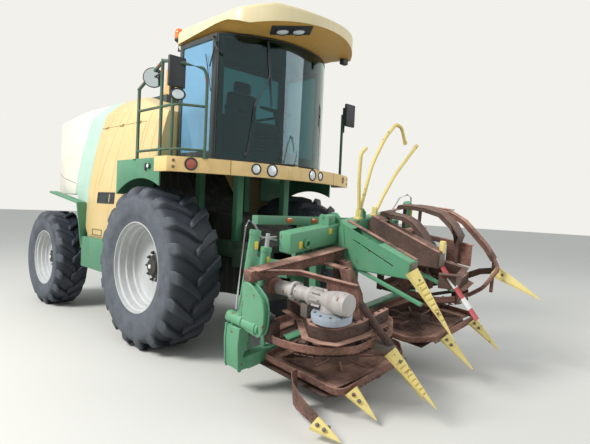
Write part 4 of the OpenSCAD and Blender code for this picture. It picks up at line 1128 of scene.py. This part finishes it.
frame_form = bmesh.new()
column = [(1372, -52), (1380, -200), (1440, -330), (1452, -440), (1466, -480), (1496, -480),
          (1506, -440), (1508, -200), (1488, -52)]
crook = [(1390, 40), (1375, 180), (1250, 300), (1190, 300), (1190, 240), (1300, 140), (1330, -60),
         (1470, -60), (1470, 40)]
add_block(frame_form, (-1390, -105, -480), (1390, 0, -350), header_at, 8.0)
for at in header_halves:
    for outline, low, high, round_mm in ((column, -104, -84, 4.0), (column, 84, 104, 4.0),
                                         (moved_loop(column, 10), -90, 90, 6.0), (crook, 20, 44, 4.0),
                                         ([(370, 530), (600, 530), (370, 300)], 30, 50, 3.0)):
        add_plate(frame_form, outline, low, high, at @ front_on, round_mm=round_mm)
    for x in (1130, 1300):
        add_plate(frame_form, [(-60, -350), (0, -350), (0, -120), (-30, -160)], x, x + 14, at @ side_on)
    add_block(frame_form, (1330, -95, -476), (1450, -10, -354), at, 8.0)
    add_block(frame_form, (290, 0, -480), (370, 100, 560), at, 8.0)
    add_barrel(frame_form, fold_x, 0, -105, 110, 56, 30, at)
    add_barrel(frame_form, fold_x, 0, -326, 100, 30, 11, at)
    # Fold cylinders: a long barrel up from the fold axis and a shorter one beside it, with collars
    for start, end, radius in (((1408, -46, 40), (1252, -46, 800), 48),
                               ((1259, -46, 770), (1250, -46, 812), 53),
                               ((1412, -46, 20), (1404, -46, 62), 53),
                               ((1120, 10, 250), (1068, 10, 600), 48),
                               ((1073, 10, 570), (1066, 10, 612), 53)):
        add_tube(frame_form, [start, end], radius, at, 28)
# The top beam with its pads, hose brackets and a bored barrel
for low, high, round_mm in (((-860, -100, 520), (860, 60, 730), 16.0),
                            ((-420, 0, 460), (420, 100, 580), 8.0),
                            ((-290, 0, 300), (290, 100, 460), 8.0),
                            ((-262, -60, 726), (-150, 30, 822), 6.0)):
    add_block(frame_form, low, high, header_at, round_mm)
add_barrel(frame_form, -640, 600, -134, -90, 44, 27, header_at)
for x in (-300, -120, 330):
    add_plate(frame_form, [(-90, 726), (50, 726), (50, 800), (20, 838), (-50, 838), (-90, 800)],
              x, x + 14, header_at @ side_on)
add_tube(frame_form, [(-300, -20, 800), (-90, -20, 800)], 13, header_at, 16)
# The round boss and pin at the back that the whole header swings on
add_barrel(frame_form, 0, 0, 20, 190, 90, 55, swing_at)
add_barrel(frame_form, 0, 0, 150, 300, 60, 20, swing_at)
new_piece("header_frame_form", frame_form, header_green, "header", ["header_frame"])

# Cylinder rods, pipes and stickers
# Ground and plated steel rods that have dulled, steel pressure pipes clipped along the frame, and
# small bare yellow stickers.
dull_steel = weathered_paint("dull_ground_steel", "#8A8F90", "#B9BCBA", 0.38, 0.3, 0.2)
sticker_yellow = plain_material("yellow_vinyl_sticker", "#D8C13A", 0.4)
pipe_form = bmesh.new()
sticker_form = bmesh.new()
for at in header_halves:
    add_tube(pipe_form, [(1067, 10, 600), (1046, 10, 740)], 20, at, 20)
    add_tube(pipe_form, [(1462, -30, 110), (1448, -30, 240), (1352, -30, 860), (1300, -10, 900),
                         (1200, 40, 860), (1080, 70, 700), (880, 70, 640)], 9, at, 10)
    add_tube(pipe_form, [(1240, 50, 170), (1200, 70, 400), (1140, 76, 640), (1060, 76, 690),
                         (880, 76, 670)], 9, at, 10)
    add_block(sticker_form, (1264, -97, 650), (1300, -92, 720), at, 1.0)
    add_block(sticker_form, (1072, -41, 470), (1100, -36, 530), at, 1.0)
for k in range(3):
    add_tube(pipe_form, [(-830, 64 + 3 * k, 560 + 34 * k), (-300, 72, 600 + 34 * k), (-210, 40, 760),
                         (-200 + 20 * k, 0, 815)], 8, header_at, 10)
new_piece("header_pipes", pipe_form, dull_steel, "header")
add_block(sticker_form, (-740, -104, 560), (-690, -99, 630), header_at, 1.0)
add_block(sticker_form, (-300, -104, 640), (-250, -99, 700), header_at, 1.0)
new_piece("header_stickers", sticker_form, sticker_yellow, "header")


# Centre deck and collector loops
# Rusty mild steel plate under the folded wings, with a flat six-sided guide loop on each half and
# a row of knife sections along its front, riveted on.
def rusted_steel(name, dark, middle, light, roughness=0.85):
    """Bare steel under dry rust: three browns in patches, with a painted sunlit highlight on its upward
    faces.
    """
    material = new_material(name, {"Roughness": roughness})
    tree = material.node_tree
    coordinates = add(tree, "ShaderNodeTexCoord", {}).outputs
    place = coordinates["Object"]
    patches = add(tree, "ShaderNodeTexNoise",
                  {"Vector": place, "Scale": 3.2, "Detail": 9.0, "Roughness": 0.65})
    grains = add(tree, "ShaderNodeTexNoise",
                 {"Vector": place, "Scale": 45.0, "Detail": 8.0, "Roughness": 0.75})
    level = add(tree, "ShaderNodeMapRange", {"Value": patches, "From Min": 0.35, "From Max": 0.65})
    flecks = add(tree, "ShaderNodeMapRange",
                 {"Value": grains, "From Min": 0.45, "From Max": 0.75, "To Max": 0.4})
    # Upward faces take the light colour as a painted highlight, as if sunlit; random pale flecks add to it.
    facing = add(tree, "ShaderNodeSeparateXYZ", {0: coordinates["Normal"]}).outputs["Z"]
    upward = add(tree, "ShaderNodeMapRange",
                 {"Value": facing, "From Min": 0.25, "From Max": 0.95, "To Max": 0.9})
    top_highlight = add(tree, "ShaderNodeMath", {0: upward, 1: level}, operation="MULTIPLY")
    flecks_and_top_highlight = add(tree, "ShaderNodeMath", {0: top_highlight, 1: flecks}, operation="MAXIMUM")
    color = add(tree, "ShaderNodeMix", {"Factor": level, "A": dark, "B": middle}, data_type="RGBA")
    color = add(tree, "ShaderNodeMix", {"Factor": flecks_and_top_highlight, "A": color, "B": light}, data_type="RGBA")
    bump = add(tree, "ShaderNodeBump", {"Height": grains, "Strength": 0.35, "Distance": 0.003})
    return finish(material, {"Base Color": color, "Normal": bump})


def strip_outline(path, left, right):
    """The outline of a strip along a path, from one distance on its left to another."""
    corners = list(zip([None] + path[:-1], path, path[1:] + [None]))
    one, other = [[tuple(Vector(here) + leftward(before, here, after) * away)
                   for before, here, after in corners] for away in (left, right)]
    return one + other[::-1]


def add_teeth(form, start, end, low, high, at, pitch=52, long=46):
    """Adds a row of pointed knife sections along a line, pointing to its right."""
    along = Vector(end) - Vector(start)
    count = max(1, int(along.length / pitch))
    step = along / count
    out = Vector((step.y, -step.x)).normalized() * long
    for k in range(count):
        root = Vector(start) + step * k
        tooth = (root + step * 0.08, root + step * 0.92, root + step * 0.5 + out)
        add_plate(form, tooth, low, high, at, round_mm=0)


def rounded(loop, cut):
    """A closed loop with each corner cut off by two short sides."""
    made = []
    for before, here, after in zip(loop[-1:] + loop[:-1], loop, loop[1:] + loop[:1]):
        here = Vector(here)
        back = Vector(before) - here
        fore = Vector(after) - here
        reach = min(cut, back.length * 0.4, fore.length * 0.4)
        a, b = here + back.normalized() * reach, here + fore.normalized() * reach
        made += [tuple(a), tuple((a + b) / 4 + here / 2), tuple(b)]
    return made


def spaced(start, end, pitch):
    """The middles of equal steps of about a pitch along a line, and the line's direction."""
    along = Vector(end) - Vector(start)
    count = max(1, int(along.length / pitch))
    return [Vector(start) + along * (k + 0.5) / count for k in range(count)], along.normalized()


# One rust in two copies: a brighter one for sunlit flanges and tops, and one darkened with painted shade for
# the webs, the parts underneath and the deck in the wings' shadow.
sunlit_rust = rusted_steel("rust_in_painted_sunlight", "#4A332C", "#82594B", "#C49C88")
shaded_rust = rusted_steel("rust_in_painted_shade", "#2E211C", "#4E3830", "#7A5E50")
deck_form = bmesh.new()
loops_form = bmesh.new()
deck = [(-1240, -105), (-1240, -900), (-1160, -980), (-200, -980), (-200, -400), (200, -400),
        (200, -980), (1160, -980), (1240, -900), (1240, -105)]
loop = [(60, -150), (60, -880), (300, -1080), (1180, -1080), (1240, -1020), (1240, -150)]
add_plate(deck_form, deck, -480, -468, header_at)
for at in header_halves:
    add_plate(loops_form, rounded(loop, 50), -412, -400, at, [rounded(moved_loop(loop, 112), 40)])
    add_plate(loops_form, rounded(loop, 50), -412, -352, at, [rounded(moved_loop(loop, 12), 46)])
    add_teeth(loops_form, (1180, -1080), (300, -1080), -430, -422, at)
    for x, y in ((220, -300), (220, -820), (640, -1020), (1130, -900), (1130, -300)):
        add_block(deck_form, (x - 30, y - 30, -470), (x + 30, y + 30, -408), at, 6.0)
    add_block(deck_form, (300, -880, -470), (1100, -320, -440), at, 10.0)
    # A round drum cover in the middle of each half, with eight spokes over it
    add_turned(deck_form, [(0, 0), (270, 0), (262, 26), (180, 44), (70, 60), (64, 96), (0, 100)],
               at @ shift(680, -600, -440), 40)
    for spoke in places_round(at @ shift(680, -600, 0), 8, 0, 0):
        add_tube(loops_form, [(70, 0, -402), (330, 0, -396)], 12, spoke, 8)
# The right outer divider: a curled rusty sheet that has bent outwards, running into a low tip
curl_form = bmesh.new()
curl_stations = (  # x, y, height of the top edge, lean of the top edge
    (-1150, -2390, 330, 0), (-1240, -2440, 345, -36), (-1300, -2540, 300, -60),
    (-1345, -2660, 236, -40), (-1392, -2790, 190, -20), (-1440, -2900, 172, 0))
curl_rows = [[curl_form.verts.new(mm(x + lean * t, y, 62 + (top - 62) * t)) for t in (0, 0.35, 0.7, 1)]
             for x, y, top, lean in curl_stations]
join_rows(curl_form, curl_rows[::-1], closed=False)
bmesh.ops.subdivide_edges(curl_form, edges=curl_form.edges[:], cuts=2, use_grid_fill=True, smooth=1.0)
bmesh.ops.solidify(curl_form, geom=curl_form.faces[:], thickness=0.005)
new_piece("divider_sheet", curl_form, sunlit_rust, "header")
new_piece("deck_plate", deck_form, shaded_rust, "header", ["header_deck"])
new_piece("deck_loops", loops_form, sunlit_rust, "header")


# Tips of the centre section and of the wings
# Folded yellow sheet drawn to a point, with a ridge, a row of slots beside it and four rusty
# bolts at the root. Their enamel has gone chalky and the edges have worn to rust.
def add_tip(form, bolts, base, long, wide, fall, at, tall=110, turn=0):
    """Adds a divider tip from the middle of its root: length, width and its fall in degrees."""
    place = at @ shift(*base) @ swing(turn, "Z") @ swing(fall, "X")
    part = bmesh.new()
    stations = 26
    section = [(-0.5, -0.42), (-0.5, -0.1), (0.12, 0.5), (0.22, 0.5), (0.5, -0.1), (0.5, -0.42), (0, -0.5)]
    slotted_side = 3
    rings = []
    for k in range(stations + 1):
        t = k / stations
        keep = (1 - t) ** 0.9 * 0.93 + 0.05
        droop = -0.1 * tall * t ** 2
        rings.append([part.verts.new(Vector((x * wide * keep, -long * t, z * tall * keep + droop)) / 1000)
                      for x, z in section])
    join_rows(part, rings)
    part.faces.ensure_lookup_table()
    slots = [part.faces[k * len(section) + slotted_side] for k in range(5, stations - 6, 2)]
    part.faces.new(rings[0])
    part.faces.new(rings[-1])
    bmesh.ops.recalc_face_normals(part, faces=part.faces)
    bmesh.ops.inset_individual(part, faces=slots, thickness=0.006, depth=-0.009)
    take_in(form, part, place)
    slope = math.degrees(math.atan2(0.6 * tall, 0.48 * wide))
    for s in (-1, 1):
        add_bolts(bolts, [place @ shift(s * wide * 0.24, y, tall * 0.18) @ swing(s * slope, "Y")
                          for y in (-40, -105)], 11, 12)


tip_yellow = weathered_paint("tip_yellow_enamel", "#CBB35A", "#E3D38E", 0.5, 0.3, 0.3)
tips_form = bmesh.new()
tip_bolts = bmesh.new()
for x, long, fall in ((-1090, 300, 30), (-380, 380, 44), (460, 420, 36), (1090, 420, 36)):
    add_tip(tips_form, tip_bolts, (x, -1096, -392), long, 150, fall, header_at, tall=80)
add_tip(tips_form, tip_bolts, (-1452, -2890, 112), 250, 130, 15, ground, tall=90, turn=6)
new_piece("header_tips_form", tips_form, tip_yellow, "header", ["header_tips"], 25)
new_piece("header_tip_bolts", tip_bolts, bolt_steel, "header")

# Guide tubes
# Bent yellow tube that stands over the folded wings and leads the crop in, on welded feet, with
# a collar at two of its ends.
guide_form = bmesh.new()
for path in ([(250, 735), (330, 960), (460, 1320), (690, 1620), (890, 1770), (1010, 1730), (1110, 1540)],
             [(255, 900), (235, 1180), (250, 1450), (340, 1510)],
             [(550, 735), (700, 930), (930, 1180), (1370, 1510)]):
    add_tube(guide_form, bent([(x, -50, z) for x, z in path]), 20, header_at, 16)
for start, end, radius in (((252, -50, 735), (255, -50, 905), 20),
                           ((1098, -50, 1570), (1112, -50, 1536), 25),
                           ((1340, -50, 1488), (1374, -50, 1513), 24)):
    add_tube(guide_form, [start, end], radius, header_at, 16)
for x in (250, 550):
    add_block(guide_form, (x - 36, -90, 728), (x + 36, -10, 744), header_at, 3.0)
    add_block(guide_form, (x - 8, -80, 740), (x + 8, -20, 830), header_at, 3.0)
new_piece("guide_tubes_form", guide_form, tip_yellow, "header", ["guide_tubes"])

# Wing frames
# Each folded wing hangs on a forked green ear with its barrel. A rusty cross beam runs inwards
# to a tapering sheet steel end box, open on top, whose edge has lost its paint.
brown_cover = rusted_steel("brown_painted_sheet", "#3F312C", "#61493F", "#8A6A5B", 0.7)
inner_end = {"right": 30, "left": 350}
end_box_wide = 150
end_box_slope = 0.2987
ear = [(-116, -50), (-116, 300), (-130, 400), (-230, 400), (-310, 350), (-388, 290), (-408, 190),
       (-398, 44), (-366, -40), (-330, -72), (-250, -64)]
end_box = [(-130, 300), (-130, 700), (-170, 760), (-250, 730), (-1000, 506), (-1000, 344), (-420, 300)]
end_box_slot = [(-330, 600), (-330, 612), (-820, 442), (-820, 430)]
end_box_covers = ([(-130, 300), (-130, 312), (-420, 312), (-1000, 356), (-1000, 344), (-420, 300)],
                  [(-170, 752), (-250, 724), (-300, 708), (-300, 720), (-250, 736), (-170, 764)],
                  [(-640, 606), (-1000, 498), (-1000, 510), (-640, 618)],
                  [(-990, 350), (-990, 500), (-1000, 500), (-1000, 350)])
for side, at in wing_at.items():
    body = "wing_" + side
    end = inner_end[side]
    far = end + end_box_wide
    lying = at @ side_on
    green_form = bmesh.new()
    for x in (1392, 1450):
        add_plate(green_form, rounded(ear, 40), x, x + 18, lying, round_mm=4.0)
    add_plate(green_form, rounded(moved_loop(ear, 26), 30), 1405, 1455, lying, round_mm=0)
    add_barrel(green_form, fold_x, 0, -330, -113, 56, 31, at)
    add_barrel(green_form, fold_x, 0, -300, -270, 66, 50, at)
    add_tube(green_form, [(end + 120, -240, 330), (end + 120, -1140, 124)], 24, at, 6)
    new_piece(f"wing_frame_{side}_form", green_form, header_green, body,
              ["wing_frame_" + side])
    # The end box: two side sheets, one with a thin slot; covers at its floor, root and nose; two
    # walls inside; and a stiffener pressed on the visible side sheet
    box_form = bmesh.new()
    add_plate(box_form, end_box, end, end + 6, lying)
    add_plate(box_form, end_box, far - 6, far, lying, [end_box_slot])
    for cover in end_box_covers:
        add_plate(box_form, cover, end, far, lying)
    for y in (-420, -700):
        wall_top = end_box_slope * (y + 250) + 670
        add_block(box_form, (end + 4, y - 5, 312), (far - 4, y + 5, wall_top), at, 2.0)
    add_plate(box_form, [(-140, 330), (-140, 690), (-200, 716), (-240, 420), (-230, 330)], far, far + 6,
              lying)
    if side == "right":
        new_piece("wing_end_box_right", box_form, header_green, body)
    else:
        new_piece("wing_end_box_left", box_form, brown_cover, body)
    # Cross beam, bent guide strip under it and the bare top edge of the end box
    rust_form = bmesh.new()
    add_block(rust_form, (far, -220, 395), (1450, -116, 500), at, 6.0)
    add_block(rust_form, (far, -260, 494), (1400, -116, 505), at, 3.0)
    add_plate(rust_form, [(-250, 742), (-1000, 518), (-1000, 506), (-250, 730)], end - 4, end + 44, lying)
    add_plate(rust_form, [(-250, 730), (-160, 762), (-164, 774), (-252, 744)], end - 4, end + 60, lying)
    guide = [(1290, -215), (1060, -440), (1036, -731), (1000, -1050)]
    add_plate(rust_form, strip_outline(guide, 0, 8), 440, 492, at)
    add_plate(rust_form, strip_outline(guide, 0, 44), 486, 494, at)
    add_plate(rust_form, strip_outline(guide[2:], 0, 8), 250, 442, at)
    # Bent carriers that hang under the end box
    for x, y in ((end + 200, -250), (end + 400, -420)):
        carrier = [(y, 396), (y - 90, 396), (y - 260, 90), (y - 290, -40), (y - 210, -60), (y - 160, 70)]
        for near in (x, x + 74):
            add_plate(rust_form, carrier, near, near + 8, lying)
        add_plate(rust_form, [(y - 84, 396), (y - 96, 396), (y - 268, 90), (y - 296, -40),
                              (y - 284, -40), (y - 256, 90)], x, x + 80, lying)
        add_block(rust_form, (x, y - 60, 380), (x + 80, -200, 400), at, 3.0)
    new_piece("wing_beam_" + side, rust_form, sunlit_rust, body)

# Collectors of the wings
# Laser-cut and bent mild steel: a flat ring with a standing rim and knife sections at the front,
# and a bent channel with punched holes on posts above it. All of it is bare dry rust, the sunlit
# copy on top and the copy darkened with painted shade on the eyelets and the parts underneath.
for side, at in wing_at.items():
    u = inner_end[side] + 170
    body = "wing_" + side
    ring = [(1267, -160), (1345, -300), (1398, -466), (1360, -660), (1282, -829), (1160, -960),
            (1011, -1060), (u + 282, -1060), (u + 50, -900), (u, -160)]
    channel = [(946, -160), (975, -300), (1013, -436), (1140, -590), (1250, -734), (1230, -860),
               (1170, -960), (888, -1010), (u + 250, -980)]
    ring_form = bmesh.new()
    add_plate(ring_form, rounded(ring, 40), -110, -100, at, [rounded(moved_loop(ring, 120), 40)])
    add_plate(ring_form, rounded(ring, 40), -110, -40, at, [rounded(moved_loop(ring, 10), 38)])
    add_plate(ring_form, strip_outline(channel, -44, 4), 116, 124, at)
    add_plate(ring_form, strip_outline(channel, -4, 62), 2, 10, at)
    # Punched holes as eyelets along the channel, a bolt above each
    eyelets = bmesh.new()
    for start, end in zip(channel, channel[1:]):
        spots, along = spaced(start, end, 85)
        across = Vector((-along.y, along.x, 0))
        for spot in spots:
            hole = spot.to_3d() + Vector((0, 0, 64)) + across * 4
            add_turned(eyelets, [(8, 0), (13, 0), (14, 3), (8, 3)], at @ towards(hole / 1000, across), 16)
            add_bolts(eyelets, [at @ shift(*(hole - across * 30)) @ shift(0, 0, 60)], 9, 9)
    new_piece(f"collector_{side}_bolts", eyelets, shaded_rust, body)
    new_piece(f"collector_{side}_ring", ring_form, sunlit_rust, body, ["wing_deck_" + side])
    under_form = bmesh.new()
    add_plate(under_form, strip_outline(channel, -4, 4), 10, 118, at)
    add_plate(under_form, rounded(moved_loop(ring, 30), 40), -130, -122, at,
              [rounded(moved_loop(ring, 170), 40)])
    for start, end in zip(ring[3:8], ring[4:9]):
        add_teeth(under_form, end, start, -136, -130, at, 58, -52)
    for x, y in ((1225, -720), (888, -985), (u + 330, -980), (980, -330)):
        add_tube(under_form, [(x, y, -106), (x, y, 6)], 26, at, 16)
    add_block(under_form, (1280, -420, -128), (1389, -330, 60), at, 8.0)
    add_block(under_form, (u + 10, -215, -130), (u + 70, -150, 396), at, 6.0)
    # Arms across the ring, the finger chain's guide and a rubbed chain of flat links
    for arm, half, top in (([(u + 40, -320), (700, -460), (1240, -640)], 34, -76),
                           ([(u + 120, -820), (620, -700), (1100, -900)], 30, -80)):
        add_plate(under_form, strip_outline(arm, -half, half), -96, top, at)
    inner = moved_loop(ring, 64)
    for start, end in zip(inner, inner[1:]):
        spots, along = spaced(start, end, 74)
        for k, spot in enumerate(spots):
            link = at @ shift(*spot, -86) @ swing(math.degrees(math.atan2(along.y, along.x)), "Z")
            add_block(under_form, (-30, -16, -14), (30, 16, 14), link, 5.0)
            if k % 2:
                add_block(under_form, (-8, -70, -6), (8, -10, 8), link, 3.0)
    # Tips on the end box and on the ring, each on a short rusty holder
    tips_form = bmesh.new()
    tip_bolts = bmesh.new()
    end = inner_end[side]
    add_block(tip_bolts, (end + 20, -1012, 360), (end + 130, -990, 490), at, 6.0)
    if side == "right":
        add_tip(tips_form, tip_bolts, (end + 75, -1010, 420), 700, 165, 49, at, tall=130)
        add_tip(tips_form, tip_bolts, (746, -1240, -100), 560, 150, 37, at, tall=120)
        add_block(tip_bolts, (700, -1250, -140), (792, -1050, -60), at, 16.0)
        # The backbone of the ring's tip, bent up over the collector
        add_tube(under_form, [(760, -760, 300), (752, -900, 210), (746, -1080, 40), (746, -1215, -60)],
                 34, at, 8)
    else:
        # Its long tip is broken off: a stub stands on the box, and the ring's tip sits far out
        add_block(tips_form, (405, -1010, 470), (450, -960, 640), at @ Matrix.Rotation(0.06, 4, "Y"), 5.0)
        add_tip(tips_form, tip_bolts, (1290, -1200, 180), 560, 150, 20, at, tall=120)
        add_tube(under_form, [(1200, -900, 60), (1240, -1060, 150), (1290, -1190, 178)], 36, at, 8)
    new_piece(f"collector_{side}_under", under_form, shaded_rust, body)
    new_piece(f"wing_tips_{side}_form", tips_form, tip_yellow, body,
              ["wing_tips_" + side], 25)
    new_piece(f"wing_tip_{side}_bolts", tip_bolts, bolt_steel, body)

# Gearbox of the stripped right wing
# Cast aluminium, once silver: an open rusty drive cup, the input tube with its collar, the flared
# housing and the round table under it with a ring of bolts.
cast_alloy = weathered_paint("weathered_cast_alloy", "#928E8B", "#BDB7B0", 0.5, 0.5, 0.34, "#7A5B4C")
blue_alloy = weathered_paint("blue_grey_cast_alloy", "#7F8A94", "#A3ACB4", 0.5, 0.4, 0.2, "#7A5B4C")
drive_at = header_at @ shift(-1130, -130, 292) @ swing(86.5, "X")
table_at = header_at @ shift(-1100, -850, 150)
cup_form = bmesh.new()
add_turned(cup_form, [(40, 20), (78, 0), (86, 4), (86, 62), (70, 74), (64, 74), (72, 58), (72, 16),
                      (44, 34)], drive_at, 36)
add_turned(cup_form, [(18, -2), (34, -2), (34, 60), (18, 60)], drive_at, 6)
add_turned(cup_form, [(0, 60), (64, 60), (68, 70), (68, 120), (0, 120)], drive_at, 32)
new_piece("gearbox_cup", cup_form, sunlit_rust, "wing_right")
gear_form = bmesh.new()
add_turned(gear_form, [(0, 118), (62, 118), (66, 124), (66, 300), (88, 306), (88, 346), (66, 352),
                       (62, 420), (60, 500), (80, 506), (80, 540), (72, 550), (62, 600), (60, 668),
                       (72, 690), (90, 770), (98, 860), (90, 925), (60, 938), (0, 938)], drive_at, 40)
for rib in places_round(drive_at, 8, 0, 0):
    add_block(gear_form, (60, -5, 560), (88, 5, 650), rib, 2.0)
add_turned(gear_form, [(0, 80), (92, 80), (100, 92), (96, 150), (0, 160)], table_at, 36)
new_piece("gearbox_form", gear_form, cast_alloy, "wing_right", ["wing_gearbox"])
table_form = bmesh.new()
add_turned(table_form, [(0, -8), (60, -8), (70, 0), (150, 0), (172, 12), (176, 60), (168, 74),
                        (110, 86), (0, 92)], table_at, 48)
new_piece("gearbox_table", table_form, blue_alloy, "wing_right")
# The bolts, and the bracket that carries the gearbox on the bent channel
gear_bolts = bmesh.new()
add_bolts(gear_bolts, places_round(table_at, 10, 142, 78), 9, 9)
add_bolts(gear_bolts, places_round(drive_at, 6, 76, 346), 7, 9)
add_block(gear_bolts, (-1180, -640, 124), (-1090, -560, 244), header_at, 6.0)
new_piece("gearbox_bolts", gear_bolts, bolt_steel, "wing_right")

# Covers of the left wing
# Two bowed bands of brown sheet over the open collector and a rusty one outside them, all on
# posts, with a rusty hoop behind them and a dark wall of folded sheet in front.
cover_form = bmesh.new()
hoop_form = bmesh.new()
for form, x, wide, line in (
        (cover_form, 560, 150,
         [(-140, 790), (-280, 775), (-440, 768), (-560, 720), (-670, 620), (-749, 510), (-735, 400)]),
        (cover_form, 900, 160,
         [(-140, 826), (-320, 840), (-500, 838), (-696, 806), (-840, 700), (-930, 577), (-900, 470)]),
        (hoop_form, 1290, 90,
         [(-140, 786), (-266, 790), (-616, 762), (-790, 690), (-932, 571), (-1080, 440), (-1180, 315)])):
    lower = [(y + 7, z - 11) for y, z in line]
    skirt = [(y + 26, z - 46) for y, z in line]
    add_plate(form, line + lower[::-1], x, x + wide, header_at @ side_on)
    for edge in (x, x + wide - 7):
        add_plate(form, line + skirt[::-1], edge, edge + 7, header_at @ side_on, round_mm=2.0)
    middle = x + wide / 2
    foot_y, foot_top = line[-1]
    add_tube(form, [(middle, -180, 500), (middle, -190, line[0][1] - 10)], 22, header_at, 12)
    add_tube(form, [(middle, foot_y + 12, -90), (middle, foot_y + 12, foot_top + 6)], 20, header_at, 12)
wall = [(1180, -300), (900, -420), (840, -700), (730, -1080), (470, -1150), (400, -1000)]
add_plate(cover_form, strip_outline(wall, 0, 8), 130, 300, header_at)
add_plate(cover_form, strip_outline(wall, 0, 70), 292, 300, header_at)
add_block(cover_form, (860, -560, 124), (930, -440, 140), header_at, 3.0)
for x, y in ((880, -540), (700, -1070), (1120, -330)):
    add_tube(cover_form, [(x, y, -100), (x, y, 140)], 18, header_at, 12)
new_piece("wing_covers", cover_form, brown_cover, "wing_left")
hoop = [(560, -150), (1180, -150), (1310, -200), (1370, -300), (1370, -616)]
add_plate(hoop_form, strip_outline(hoop, -30, 30), 776, 784, header_at)
hoop_bow = [(1330, -1150, 330), (1180, -1290, 240), (960, -1230, 60), (950, -1080, -60)]
add_tube(hoop_form, bent(hoop_bow), 22, header_at, 8)
new_piece("wing_hoop", hoop_form, sunlit_rust, "wing_left")

# Warning board
# A flat sheet steel board in red and white bands, bolted to the left wing's end box.
board_top = Vector((454, -1000, 344))
board_along = Vector((500, -1400, -126)) - board_top
board_at = header_at @ towards(board_top / 1000, board_along)
band_long = board_along.length / 5
for name, color, bands in (("red", "#B4232C", (0, 2, 4)), ("white", "#E3E1DC", (1, 3))):
    band_form = bmesh.new()
    for k in bands:
        add_block(band_form, (-52, -4, band_long * k), (52, 4, band_long * (k + 1)), board_at, 1.5)
    board_paint = weathered_paint(f"warning_{name}_enamel", color, color, 0.4, 0.15)
    new_piece("warning_board_" + name, band_form, board_paint, "wing_left")
